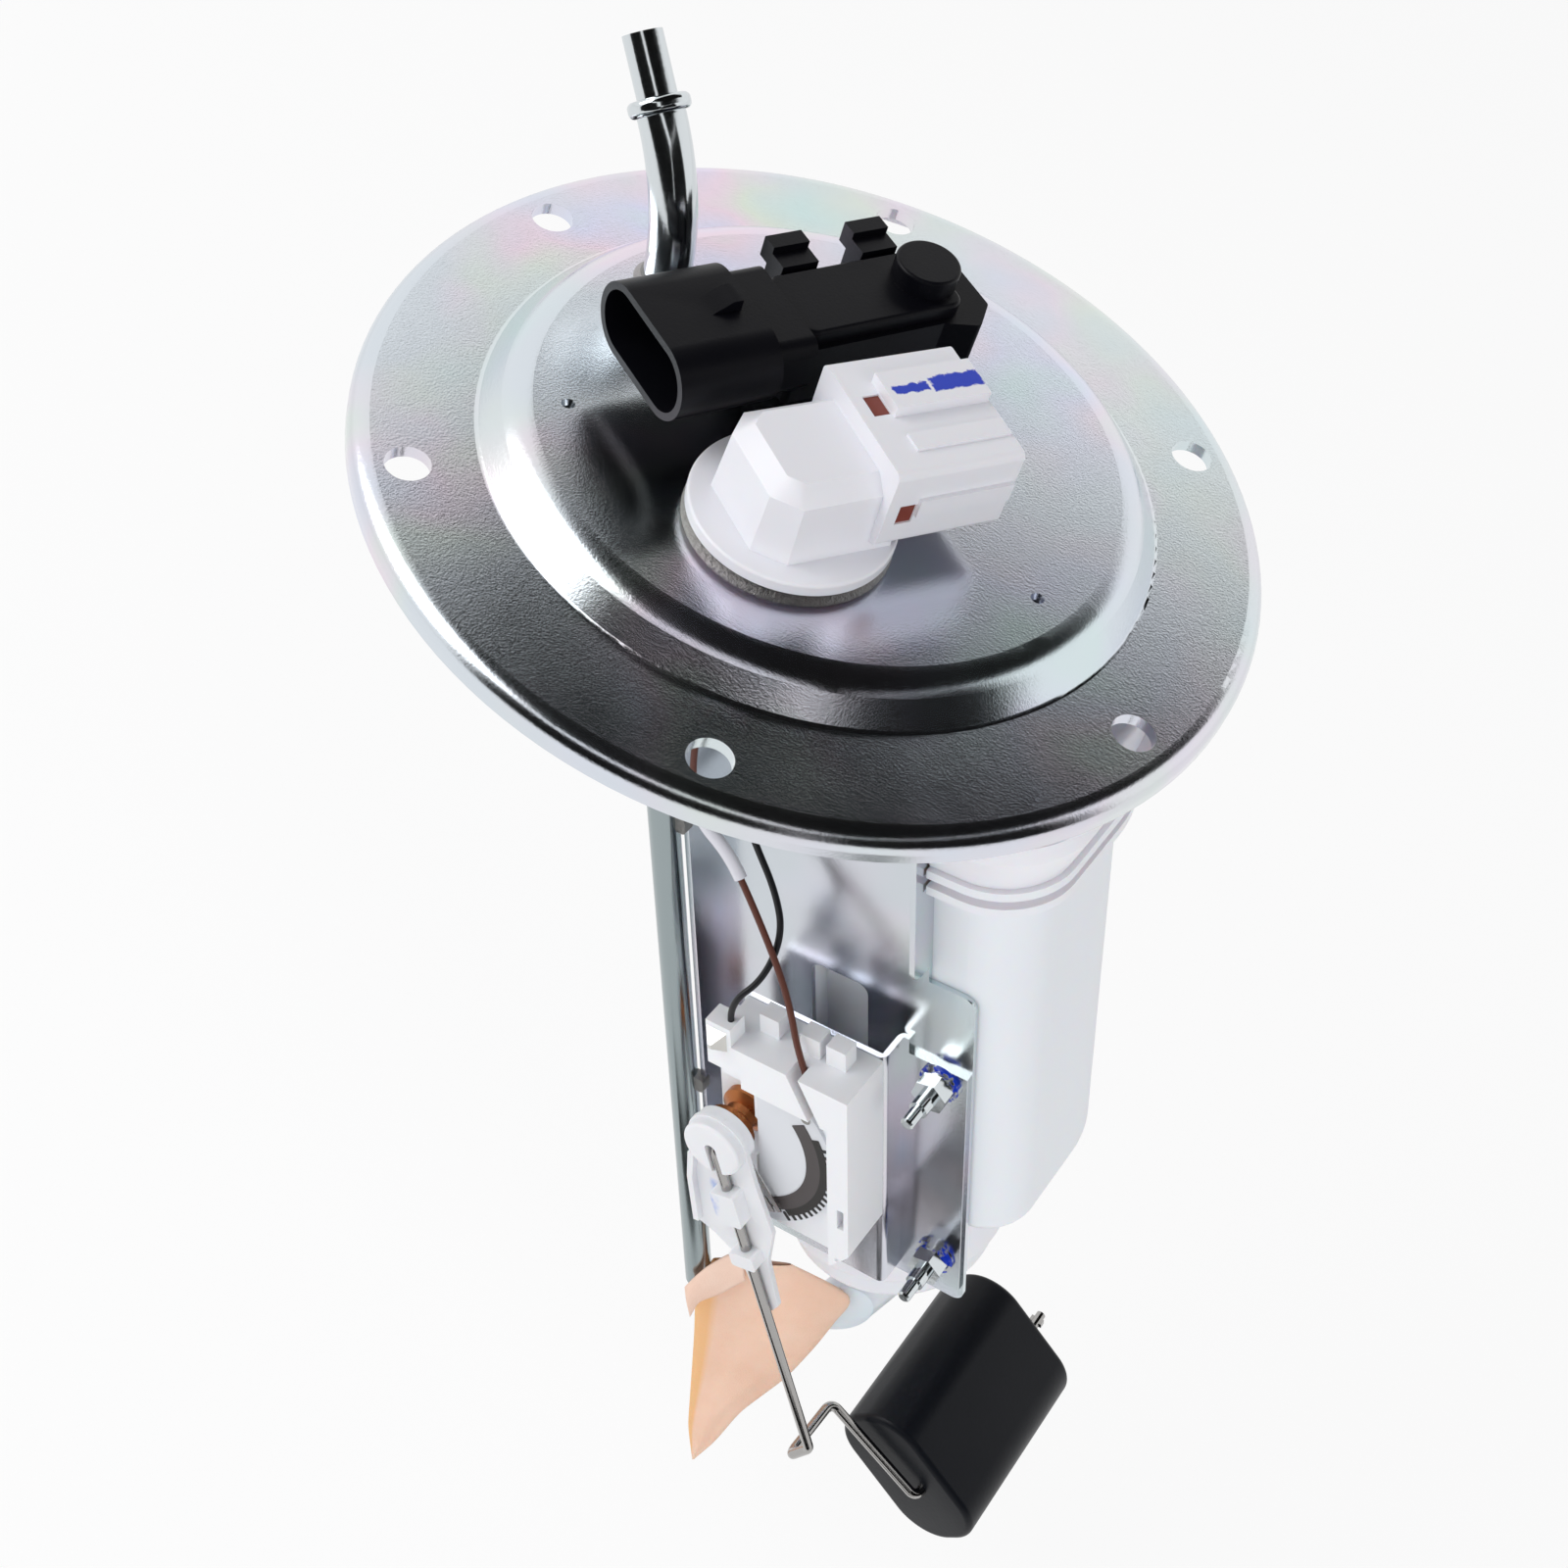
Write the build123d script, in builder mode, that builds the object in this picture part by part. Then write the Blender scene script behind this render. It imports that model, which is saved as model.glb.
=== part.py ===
from build123d import *
import os
from math import cos, sin, tan, radians, degrees, atan2, hypot, pi

os.makedirs("parts", exist_ok=True)

# The frame: origin at the centre of the flange's seat face, +Z up out of the tank,
# +X to the right along the hanger plate, +Y from the level sender towards the housing.
# The hanger leans from the flange's normal, so its heights are counted along its own length.
LEAN = 18.3
ALONG = (cos(radians(LEAN)), 0, sin(radians(LEAN)))
UP = (-sin(radians(LEAN)), 0, cos(radians(LEAN)))

# Flange
SHEET = 2.5
FLANGE_R = 89.0
BOLT_R = 79.25
BOLT_ANGLES = (50.0, 170.0, 290.0, -10.0, 230.0, 113.2)
BOLT_HOLE_R = 4.25
DOME_TOP = 9.5
DOME_R = 60.0
SLOPE_RUN = 6.0
CREASE_R = DOME_R + SLOPE_RUN
RIM_DROP = 5.8

# Running gap of turning pieces and the gap between loose neighbours
RUN = 0.05
GAP = 0.3

# Hanger plate
PLATE = 1.2
PLATE_FRONT = -35.0
PLATE_BACK = PLATE_FRONT + PLATE
PLATE_LEFT = -5.2
PLATE_RIGHT = 46.5
WING_RIGHT = 57.0
WING_TOP = -83.0
PLATE_BOTTOM = -178.0
LEFT_FLANGE = 8.0
RIGHT_FLANGE = 5.6

# Level sender
SENDER_SHEET = 1.2
SENDER_BACK = -43.4
SENDER_FRONT = -56.9
CARD_FLOOR = -52.6
PIVOT_A = 10.2
PIVOT_H = -131.0
ROD_R = 1.2
ROD_Y = -59.6
STUD_A = 50.5
STUD_TOP = -108.5
STUD_PITCH = 56.0

# Filter housing and pump
HOUSE_A = 27.0
HOUSE_W = 78.0
HOUSE_D = 58.8
HOUSE_Y = PLATE_BACK + HOUSE_D / 2
HOUSE_TOP = -57.0
HOUSE_BOTTOM = -155.0
FRONT_ROUND = 11.9
BACK_ROUND = 29.0
WALL = 2.0
CAP_TOP = -30.0
PUMP_A = 27.0
PUMP_Y = -2.0
PUMP_R = 19.0
CASE_TOP = -86.0
CASE_BOTTOM = -170.0
SHAFT_R = 1.6
HOLDER_A = 21.5
HOLDER_Y = -6.0
HOLDER_R = 27.5
HOLDER_END = -203.0


def point(a, y, h):
    """Place in the part's frame of a point given across, through and up the hanger."""
    return (a * ALONG[0] + h * UP[0], y, a * ALONG[2] + h * UP[2])


def facing(y, a=0.0, h=0.0):
    """Plane across the front at depth y, local x to the right, local y up the hanger."""
    return Plane(origin=point(a, y, h), x_dir=ALONG, z_dir=(0, -1, 0))


def level(h, a=0.0, y=0.0):
    """Plane square to the hanger's length at height h, local y to the back."""
    return Plane(origin=point(a, y, h), x_dir=ALONG, z_dir=UP)


def sideways(a, y=0.0, h=0.0):
    """Plane square to the hanger's width at a, local x to the back, local y up."""
    return Plane(origin=point(a, y, h), x_dir=(0, 1, 0), z_dir=ALONG)


def save(block, name):
    block.part.label = name
    export_step(block.part, "parts/" + name + ".step")


# Flange
wall_slope = atan2(DOME_TOP - SHEET, CREASE_R - DOME_R)
corner_shift = SHEET * tan(wall_slope / 2)

COLLAR_X = 7.6
COLLAR_Y = -26.6
COLLAR_R = 17.6
COLLAR_TOP = 12.0
PIPE_R = 4.75
PIPE_X = -47.4
PIPE_Y = 9.1
GROMMET_R = 8.0
SENSOR_TURN = 65.5
SENSOR_X = -20.0
SENSOR_Y = -5.0
NIPPLE_S = 37.0
NIPPLE_X = SENSOR_X + NIPPLE_S * cos(radians(SENSOR_TURN))
NIPPLE_Y = SENSOR_Y + NIPPLE_S * sin(radians(SENSOR_TURN))

with BuildPart() as flange:
    with BuildSketch(Plane.XZ):
        with BuildLine():
            Polyline(
                (0, DOME_TOP),
                (DOME_R, DOME_TOP),
                (CREASE_R, SHEET),
                (FLANGE_R, SHEET),
                (FLANGE_R, SHEET - RIM_DROP),
                (FLANGE_R - 2.2, SHEET - RIM_DROP),
                (FLANGE_R - 2.2, 0),
                (CREASE_R - corner_shift, 0),
                (DOME_R - corner_shift, DOME_TOP - SHEET),
                (0, DOME_TOP - SHEET),
                (0, DOME_TOP),
            )
        face = make_face()
        corners = face.vertices()
        fillet(corners.filter_by_position(Axis.X, DOME_R - 0.1, DOME_R + 0.1), 7.0)
        inner = DOME_R - corner_shift
        fillet(vertices().filter_by_position(Axis.X, inner - 0.1, inner + 0.1), 4.5)
        fillet(vertices().filter_by_position(Axis.X, CREASE_R - 0.1, CREASE_R + 0.1), 1.0)
        inner = CREASE_R - corner_shift
        fillet(vertices().filter_by_position(Axis.X, inner - 0.1, inner + 0.1), 2.5)
        fillet(vertices().group_by(Axis.X)[-1].sort_by(Axis.Y)[-1], 3.8)
        fillet(vertices().filter_by_position(Axis.X, FLANGE_R - 2.3, FLANGE_R - 2.1).sort_by(Axis.Y)[-1], 1.6)
    revolve(axis=Axis.Z)
    with BuildSketch(Plane.XY.offset(-1)):
        for angle in BOLT_ANGLES:
            with PolarLocations(BOLT_R, 1, start_angle=angle):
                Circle(BOLT_HOLE_R)
        with Locations((COLLAR_X, COLLAR_Y)):
            Circle(COLLAR_R)
        with Locations((PIPE_X, PIPE_Y)):
            Circle(PIPE_R)
        with Locations((NIPPLE_X, NIPPLE_Y)):
            Circle(GROMMET_R - 1.5)
    extrude(amount=20, mode=Mode.SUBTRACT)
    with BuildSketch(Plane.XY.offset(DOME_TOP)):
        with Locations((-38.0, -33.0), (50.0, -6.3)):
            Circle(1.3)
    extrude(amount=-1.2, taper=25, mode=Mode.SUBTRACT)
save(flange, "mounting_flange")

# Steel collar pressed through the dome, with the weld bead round its foot
with BuildPart() as collar:
    with BuildSketch(Plane.XY.offset(DOME_TOP - SHEET - 2)):
        with Locations((COLLAR_X, COLLAR_Y)):
            Circle(COLLAR_R)
            Circle(COLLAR_R - 1.6, mode=Mode.SUBTRACT)
    extrude(amount=COLLAR_TOP - DOME_TOP + SHEET + 2)
save(collar, "connector_collar")

with BuildPart() as collar_weld:
    with BuildSketch(Plane(origin=(COLLAR_X, COLLAR_Y, DOME_TOP), x_dir=(1, 0, 0), z_dir=(0, -1, 0))):
        with BuildLine():
            start = (COLLAR_R, 0)
            Line(start, (COLLAR_R + 2.0, 0))
            ThreePointArc((COLLAR_R + 2.0, 0), (COLLAR_R + 1.3, 1.1), (COLLAR_R, 1.7))
            Line((COLLAR_R, 1.7), start)
        make_face()
    revolve(axis=Axis((COLLAR_X, COLLAR_Y, 0), (0, 0, 1)))
save(collar_weld, "collar_weld")

# Electrical connector
SOCKET_TURN = 61.5
CONN = Plane(
    origin=(COLLAR_X, COLLAR_Y, 0),
    x_dir=(cos(radians(SOCKET_TURN)), sin(radians(SOCKET_TURN)), 0),
    z_dir=(0, 0, 1),
)
DISC_TOP = 14.4
TAB_GRID = 4.5
TAB_END = 1.0
TOWER_TOP = 30.0
SOCKET_LOW = 16.5
SOCKET_HIGH = 34.0
SOCKET_END = 34.0
SOCKET_HALF = 14.5
CAVITY_DEPTH = 17.0

with BuildPart() as connector:
    with BuildSketch(CONN.offset(COLLAR_TOP)):
        Circle(19.4)
    extrude(amount=DISC_TOP - COLLAR_TOP)
    fillet(edges().group_by(Axis.Z)[-1], 0.6)
    with BuildSketch(CONN.offset(COLLAR_TOP)):
        Circle(COLLAR_R - 1.6)
    extrude(amount=-9)
    with BuildSketch(CONN.offset(DISC_TOP)) as tower_foot:
        Rectangle(26, 26)
        chamfer(vertices().group_by(Axis.X)[0], 5)
    extrude(amount=TOWER_TOP - DISC_TOP, taper=4)
    tower_edges = edges().group_by(Axis.Z)[-1]
    chamfer(tower_edges, 3.0)
    with BuildSketch(Plane(origin=CONN.from_local_coords((8, 0, 0)), x_dir=CONN.y_dir, z_dir=CONN.x_dir)):
        with Locations((0, (SOCKET_LOW + SOCKET_HIGH) / 2)):
            RectangleRounded(2 * SOCKET_HALF, SOCKET_HIGH - SOCKET_LOW, 1.5)
    extrude(amount=SOCKET_END - 8)
    # Latch ridge and guide ribs on the socket
    with BuildSketch(Plane(origin=CONN.from_local_coords((14, 0, 0)), x_dir=CONN.y_dir, z_dir=CONN.x_dir)):
        with Locations((3.5, SOCKET_HIGH + 0.8)):
            Rectangle(9, 3.0)
        with Locations((-7.5, SOCKET_HIGH - 0.2)):
            Rectangle(4, 1.6)
        with Locations((-SOCKET_HALF, SOCKET_LOW + 9)):
            Rectangle(1.6, 4)
    extrude(amount=SOCKET_END - 14.5)
    # Mating cavity
    with BuildSketch(Plane(origin=CONN.from_local_coords((SOCKET_END, 0, 0)), x_dir=CONN.y_dir, z_dir=CONN.x_dir)):
        with Locations((0, (SOCKET_LOW + SOCKET_HIGH) / 2)):
            RectangleRounded(2 * SOCKET_HALF - 3.6, SOCKET_HIGH - SOCKET_LOW - 3.6, 1.0)
    extrude(amount=-CAVITY_DEPTH, mode=Mode.SUBTRACT)
    # Windows of the coloured lock, one on top and one on the side
    with BuildSketch(CONN.offset(SOCKET_HIGH + 3)):
        with Locations((12.2, 2.5)):
            Rectangle(3.4, 5.0)
    extrude(amount=-8, mode=Mode.SUBTRACT)
    with BuildSketch(Plane(origin=CONN.from_local_coords((12.2, -SOCKET_HALF - 1, 24)), x_dir=CONN.x_dir, z_dir=CONN.y_dir)):
        Rectangle(3.4, 4.4)
    extrude(amount=6, mode=Mode.SUBTRACT)
save(connector, "connector_body")

with BuildPart() as connector_lock:
    with BuildSketch(CONN.offset(SOCKET_HIGH - 0.4)):
        with Locations((12.2, 2.5)):
            Rectangle(3.4, 5.0)
    extrude(amount=-4.6)
    with BuildSketch(Plane(origin=CONN.from_local_coords((12.2, -SOCKET_HALF + 0.4, 24)), x_dir=CONN.x_dir, z_dir=CONN.y_dir)):
        Rectangle(3.4, 4.4)
    extrude(amount=4.6)
save(connector_lock, "connector_lock")

with BuildPart() as connector_pins:
    back = SOCKET_END - CAVITY_DEPTH
    for row in (22.5, 28.0):
        with BuildSketch(Plane(origin=CONN.from_local_coords((back, 0, row)), x_dir=CONN.y_dir, z_dir=CONN.x_dir)):
            with GridLocations(7.0, 1, 3, 1):
                Rectangle(2.2, 0.8)
        extrude(amount=9)
    chamfer(edges().filter_by(GeomType.LINE).group_by(Axis(CONN.origin, CONN.x_dir))[-1], 0.2)
save(connector_pins, "connector_terminals")

# Moulded stubs under the connector that the wires are crimped to
with BuildPart() as wire_stubs:
    with BuildSketch(CONN.offset(COLLAR_TOP - 9)):
        with GridLocations(2 * TAB_GRID, 2 * TAB_GRID, 2, 2):
            Rectangle(2.4, 1.4)
    extrude(amount=TAB_END - COLLAR_TOP + 9)
save(wire_stubs, "connector_wire_tabs")

# Tank pressure sensor
SENS = Plane(
    origin=(SENSOR_X, SENSOR_Y, 0),
    x_dir=(cos(radians(SENSOR_TURN)), sin(radians(SENSOR_TURN)), 0),
    z_dir=(0, 0, 1),
)
SHROUD_Z = 24.8
SENSOR_LOW = 13.0
SENSOR_DECK = 25.5


def sensor_end(s):
    """Plane square to the sensor's length at s, local x to its left side, local y up."""
    return Plane(origin=SENS.from_local_coords((s, 0, 0)), x_dir=SENS.y_dir, z_dir=SENS.x_dir)


with BuildPart() as sensor:
    with BuildSketch(sensor_end(-24.0)):
        with Locations((-0.4, SHROUD_Z)):
            SlotOverall(30.0, 15.0)
    extrude(amount=21.0)
    with BuildSketch(sensor_end(-4.0)):
        with Locations((-0.4, SHROUD_Z - 1.0)):
            RectangleRounded(24.0, 12.0, 3.0)
    extrude(amount=10.0)
    with BuildSketch(SENS.offset(SENSOR_LOW)):
        with BuildLine():
            Polyline((4, 9.5), (44, 9.5), (49, 3), (49, -7), (44, -12), (37, -9.5), (4, -9.5), (4, 9.5))
        make_face()
        fillet(vertices(), 1.2)
    extrude(amount=SENSOR_DECK - SENSOR_LOW)
    # Clip ears with their hooks on the left side
    for s in (14.5, 32.5):
        with BuildSketch(SENS.offset(SENSOR_LOW + 4)):
            with Locations((s, 11.5)):
                Rectangle(8.0, 5.0)
        extrude(amount=12.0)
        with BuildSketch(sensor_end(s - 4.0)):
            with Locations((14.8, SENSOR_LOW + 15.2)):
                Rectangle(3.4, 4.4)
        extrude(amount=8.0)
    # Latch ramp on the shroud
    with BuildSketch(Plane(origin=SENS.from_local_coords((-13.0, 0, 0)), x_dir=SENS.x_dir, z_dir=-SENS.y_dir)):
        with BuildLine():
            top = SHROUD_Z + 7.0
            Polyline((0, top), (7, top), (7, top + 2.6), (5, top + 2.6), (0, top))
        make_face()
    extrude(amount=2.4, both=True)
    # Hollow of the shroud
    with BuildSketch(sensor_end(-24.0)):
        with Locations((-0.4, SHROUD_Z)):
            SlotOverall(27.0, 12.0)
    extrude(amount=16.0, mode=Mode.SUBTRACT)
    # Nipple through the flange
    with BuildSketch(Plane.XY.offset(SENSOR_LOW)):
        with Locations((NIPPLE_X, NIPPLE_Y)):
            Circle(4.5)
    extrude(amount=-14.0)
    with BuildSketch(Plane.XY.offset(SENSOR_LOW - 14.0)):
        with Locations((NIPPLE_X, NIPPLE_Y)):
            Circle(1.5)
    extrude(amount=20.0, mode=Mode.SUBTRACT)
save(sensor, "sensor_body")

with BuildPart() as sensor_lid:
    with BuildSketch(SENS.offset(SENSOR_DECK)):
        with Locations((24.0, 0)):
            RectangleRounded(36.0, 16.5, 3.0)
    extrude(amount=3.0)
    fillet(edges().group_by(Axis.Z)[-1], 0.8)
    with BuildSketch(SENS.offset(SENSOR_DECK + 3.0)):
        with Locations((NIPPLE_S, 0)):
            Circle(6.4)
    extrude(amount=4.2)
    fillet(edges().group_by(Axis.Z)[-1], 0.6)
save(sensor_lid, "sensor_lid")

with BuildPart() as sensor_pins:
    with BuildSketch(sensor_end(-8.0)):
        with Locations((-0.4, SHROUD_Z)):
            with GridLocations(7.0, 1, 3, 1):
                Rectangle(1.5, 0.8)
    extrude(amount=-9.0)
save(sensor_pins, "sensor_terminals")

with BuildPart() as grommet:
    with BuildSketch(Plane.XY.offset(SENSOR_LOW)):
        with Locations((NIPPLE_X, NIPPLE_Y)):
            Circle(GROMMET_R)
            Circle(4.5, mode=Mode.SUBTRACT)
    extrude(amount=-(SENSOR_LOW - DOME_TOP))
    with BuildSketch(Plane.XY.offset(DOME_TOP)):
        with Locations((NIPPLE_X, NIPPLE_Y)):
            Circle(GROMMET_R - 1.5)
            Circle(4.5, mode=Mode.SUBTRACT)
    extrude(amount=-SHEET)
    with BuildSketch(Plane.XY.offset(DOME_TOP - SHEET)):
        with Locations((NIPPLE_X, NIPPLE_Y)):
            Circle(GROMMET_R)
            Circle(4.5, mode=Mode.SUBTRACT)
    extrude(amount=-2.5)
save(grommet, "sensor_grommet")

# Outlet pipe and its hose
PIPE_BEND = 42.0
PIPE_LEAN = 45.0
PIPE_TOWARDS = 160.0
STRAIGHT = 15.5
TIP_LENGTH = 13.5
HOSE_Z = -16.0
run_up = PIPE_BEND * tan(radians(PIPE_LEAN / 2))
lean_dir = Vector(
    sin(radians(PIPE_LEAN)) * cos(radians(PIPE_TOWARDS)),
    sin(radians(PIPE_LEAN)) * sin(radians(PIPE_TOWARDS)),
    cos(radians(PIPE_LEAN)),
)
knee = Vector(PIPE_X, PIPE_Y, DOME_TOP + run_up)
pipe_end = knee + lean_dir * (run_up + STRAIGHT)
bead_at = pipe_end - lean_dir * TIP_LENGTH
LOW_BEND = 12.0
PIPE_LOW_END = PIPE_X + 26.0

with BuildPart() as pipe:
    with BuildLine():
        FilletPolyline(
            (PIPE_LOW_END, PIPE_Y, HOSE_Z),
            (PIPE_X, PIPE_Y, HOSE_Z),
            (knee.X, knee.Y, knee.Z),
            (bead_at.X, bead_at.Y, bead_at.Z),
            radius=(LOW_BEND, PIPE_BEND),
        )
    with BuildSketch(Plane(origin=(PIPE_LOW_END, PIPE_Y, HOSE_Z), z_dir=(-1, 0, 0))):
        Circle(PIPE_R)
        Circle(PIPE_R - 1.1, mode=Mode.SUBTRACT)
    sweep()
    with BuildSketch(Plane(origin=bead_at, z_dir=lean_dir)):
        Circle(3.95)
        Circle(2.9, mode=Mode.SUBTRACT)
    extrude(amount=TIP_LENGTH)
    with BuildSketch(Plane(origin=bead_at - lean_dir * 1.6, z_dir=lean_dir)):
        Circle(6.1)
        Circle(3.6, mode=Mode.SUBTRACT)
    extrude(amount=3.2)
    fillet(edges().filter_by(GeomType.CIRCLE).filter_by(lambda e: abs(e.radius - 6.1) < 0.01), 1.2)
save(pipe, "outlet_pipe")

with BuildPart() as pipe_weld:
    with BuildSketch(Plane(origin=(PIPE_X, PIPE_Y, DOME_TOP), x_dir=(1, 0, 0), z_dir=(0, -1, 0))):
        with BuildLine():
            inner = PIPE_R + 0.02
            Polyline((inner, 0), (PIPE_R + 1.6, 0), (PIPE_R + 0.5, 1.5), (inner, 1.5), (inner, 0))
        make_face()
    revolve(axis=Axis((PIPE_X, PIPE_Y, 0), (0, 0, 1)))
save(pipe_weld, "pipe_weld")

# Hanger plate
UNDER_DOME = DOME_TOP - SHEET
TUBE_R = 3.175
TUBE_A = -9.2
TUBE_Y = -44.0
TUBE_END = -207.0
WELD_HEIGHTS = (-60.0, -136.0)
PLATE_TOP_Z = -11.0


def at_z(z, a):
    """Height up the hanger at which the point a across it lies at z of the flange."""
    return (z - a * ALONG[2]) / UP[2]


with BuildPart() as hanger:
    with BuildSketch(facing(PLATE_BACK)):
        with BuildLine():
            Polyline(
                (PLATE_LEFT, at_z(PLATE_TOP_Z, PLATE_LEFT)),
                (30, at_z(PLATE_TOP_Z, 30)),
                (30, at_z(8, 30)),
                (43, at_z(8, 43)),
                (PLATE_RIGHT, -14),
                (PLATE_RIGHT, WING_TOP),
                (WING_RIGHT, WING_TOP),
                (WING_RIGHT, PLATE_BOTTOM),
                (PLATE_LEFT, PLATE_BOTTOM),
                (PLATE_LEFT, at_z(PLATE_TOP_Z, PLATE_LEFT)),
            )
        make_face()
        wing = vertices().filter_by_position(Axis.X, WING_RIGHT - 0.1, WING_RIGHT + 0.1)
        fillet(wing, 3.0)
        with Locations((25.75, -109.0)):
            RectangleRounded(13.5, 33.0, 2.5, mode=Mode.SUBTRACT)
        with Locations((STUD_A, STUD_TOP), (STUD_A, STUD_TOP - STUD_PITCH)):
            Circle(2.6, mode=Mode.SUBTRACT)
    extrude(amount=PLATE)
    # Flange folded to the front along the left edge, notched round the collar
    with BuildSketch(sideways(PLATE_LEFT)):
        with BuildLine():
            edge_y = PLATE_FRONT - LEFT_FLANGE
            Polyline(
                (edge_y, PLATE_BOTTOM),
                (PLATE_BACK, PLATE_BOTTOM),
                (PLATE_BACK, at_z(PLATE_TOP_Z, PLATE_LEFT)),
                (-38.4, at_z(PLATE_TOP_Z, PLATE_LEFT)),
                (-38.4, at_z(8, PLATE_LEFT)),
                (edge_y, at_z(8, PLATE_LEFT)),
                (edge_y, PLATE_BOTTOM),
            )
        make_face()
    extrude(amount=PLATE)
    # Narrow flange along the right edge, round at its lower end
    with BuildSketch(sideways(PLATE_RIGHT - PLATE)):
        with BuildLine():
            edge_y = PLATE_FRONT - RIGHT_FLANGE
            Polyline((edge_y, -79), (PLATE_BACK, -79), (PLATE_BACK, -17), (edge_y, -17), (edge_y, -79))
        make_face()
        fillet(vertices().group_by(Axis.X)[0], 2.5)
    extrude(amount=PLATE)
    # Lug folded under the dome and welded to it
    with BuildSketch(Plane.XY.offset(UNDER_DOME - PLATE)):
        with Locations((36.4, (PLATE_FRONT - 22) / 2)):
            Rectangle(12.0, -22 - PLATE_FRONT)
    extrude(amount=PLATE + 1)
    split(bisect_by=Plane.XY.offset(UNDER_DOME), keep=Keep.BOTTOM)
    bend = edges().filter_by(lambda e: abs(e.center().Y - PLATE_BACK) < 0.01 and e.length > 60)
    bend = bend.filter_by(lambda e: e.center().dot(Vector(*ALONG)) < PLATE_LEFT + 0.1)
    fillet(bend, 1.8)
save(hanger, "hanger_bracket")

with BuildPart() as side_tube:
    with BuildSketch(level(TUBE_END, TUBE_A, TUBE_Y)):
        Circle(TUBE_R)
        Circle(TUBE_R - 0.9, mode=Mode.SUBTRACT)
    extrude(amount=-TUBE_END + 14)
    split(bisect_by=Plane.XY.offset(UNDER_DOME), keep=Keep.BOTTOM)
save(side_tube, "side_tube")

# Weld beads that hold the tube to the edge of the left flange
with BuildPart() as tube_welds:
    for h in WELD_HEIGHTS:
        with BuildSketch(level(h - 2, (TUBE_A + PLATE_LEFT) / 2 + 1, PLATE_FRONT - LEFT_FLANGE - 0.2)):
            Rectangle(5.0, 2.6)
        extrude(amount=4.0)
    fillet(edges().filter_by(Axis.Y), 1.0)
    add(side_tube.part, mode=Mode.SUBTRACT)
    with BuildSketch(level(TUBE_END, TUBE_A, TUBE_Y)):
        Circle(TUBE_R)
    extrude(amount=-TUBE_END, mode=Mode.SUBTRACT)
    add(hanger.part, mode=Mode.SUBTRACT)
save(tube_welds, "tube_welds")

# Bracket of the level sender
with BuildPart() as sender_bracket:
    with BuildSketch(level(-173)):
        with BuildLine():
            inner = SENDER_BACK + SENDER_SHEET
            tongue = PLATE_FRONT - SENDER_SHEET
            Polyline(
                (STUD_A + 6, PLATE_FRONT),
                (40.5, PLATE_FRONT),
                (40.5, inner),
                (8, inner),
                (8, SENDER_BACK),
                (40.5 + SENDER_SHEET, SENDER_BACK),
                (40.5 + SENDER_SHEET, tongue),
                (STUD_A + 6, tongue),
                (STUD_A + 6, PLATE_FRONT),
            )
        make_face()
        bends = vertices().filter_by_position(Axis.X, 40.4, 40.6 + SENDER_SHEET)
        fillet(bends.sort_by(Axis.Y)[0], 1.7)
        fillet(vertices().filter_by_position(Axis.X, 40.4, 40.6).sort_by(Axis.Y)[-1], 1.7)
    extrude(amount=72.5)
    with BuildSketch(facing(PLATE_FRONT + 1)):
        with Locations((52, -100)):
            Rectangle(18, 9)
        with Locations((STUD_A, STUD_TOP), (STUD_A, STUD_TOP - STUD_PITCH)):
            Circle(2.25)
    extrude(amount=3, mode=Mode.SUBTRACT)
save(sender_bracket, "sender_bracket")

STUD_HEIGHTS = (STUD_TOP, STUD_TOP - STUD_PITCH)
WASHER_BACK = PLATE_FRONT - SENDER_SHEET
NUT_BACK = WASHER_BACK - 1.8

with BuildPart() as studs:
    for h in STUD_HEIGHTS:
        with BuildSketch(facing(PLATE_BACK)):
            with Locations((STUD_A, h)):
                Circle(2.6)
        extrude(amount=PLATE)
        with BuildSketch(facing(PLATE_FRONT)):
            with Locations((STUD_A, h)):
                Circle(2.0)
        extrude(amount=10.0)
        with BuildSketch(facing(PLATE_FRONT - 10.0)):
            with Locations((STUD_A, h)):
                Circle(1.45)
        extrude(amount=4.5)
    tips = edges().filter_by(GeomType.CIRCLE).group_by(Axis.Y)[0]
    chamfer(tips, 0.4)
save(studs, "sender_studs")

with BuildPart() as washers:
    for h in STUD_HEIGHTS:
        with BuildSketch(facing(WASHER_BACK)):
            with Locations((STUD_A, h)):
                Circle(4.5)
                Circle(2.15, mode=Mode.SUBTRACT)
        extrude(amount=0.8)
save(washers, "sender_washers")

with BuildPart() as lock_washers:
    for h in STUD_HEIGHTS:
        with BuildSketch(facing(WASHER_BACK - 0.8)):
            with Locations((STUD_A, h)):
                Circle(3.8)
                Circle(2.1, mode=Mode.SUBTRACT)
            with Locations((STUD_A + 3, h)):
                Rectangle(4, 0.5, mode=Mode.SUBTRACT)
        extrude(amount=1.0)
save(lock_washers, "sender_lock_washers")

with BuildPart() as nuts:
    for h in STUD_HEIGHTS:
        with BuildSketch(facing(NUT_BACK)):
            with Locations((STUD_A, h)):
                RegularPolygon(3.5, 6, major_radius=False, rotation=12)
                Circle(2.0, mode=Mode.SUBTRACT)
        extrude(amount=3.2)
save(nuts, "sender_nuts")

# Body of the level sender
BASE_FRONT = SENDER_BACK - 3.0
TRACK_IN = 19.0
TRACK_MID = 22.4
TRACK_OUT = 25.2
CARD_FRONT = CARD_FLOOR - 0.8

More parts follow.
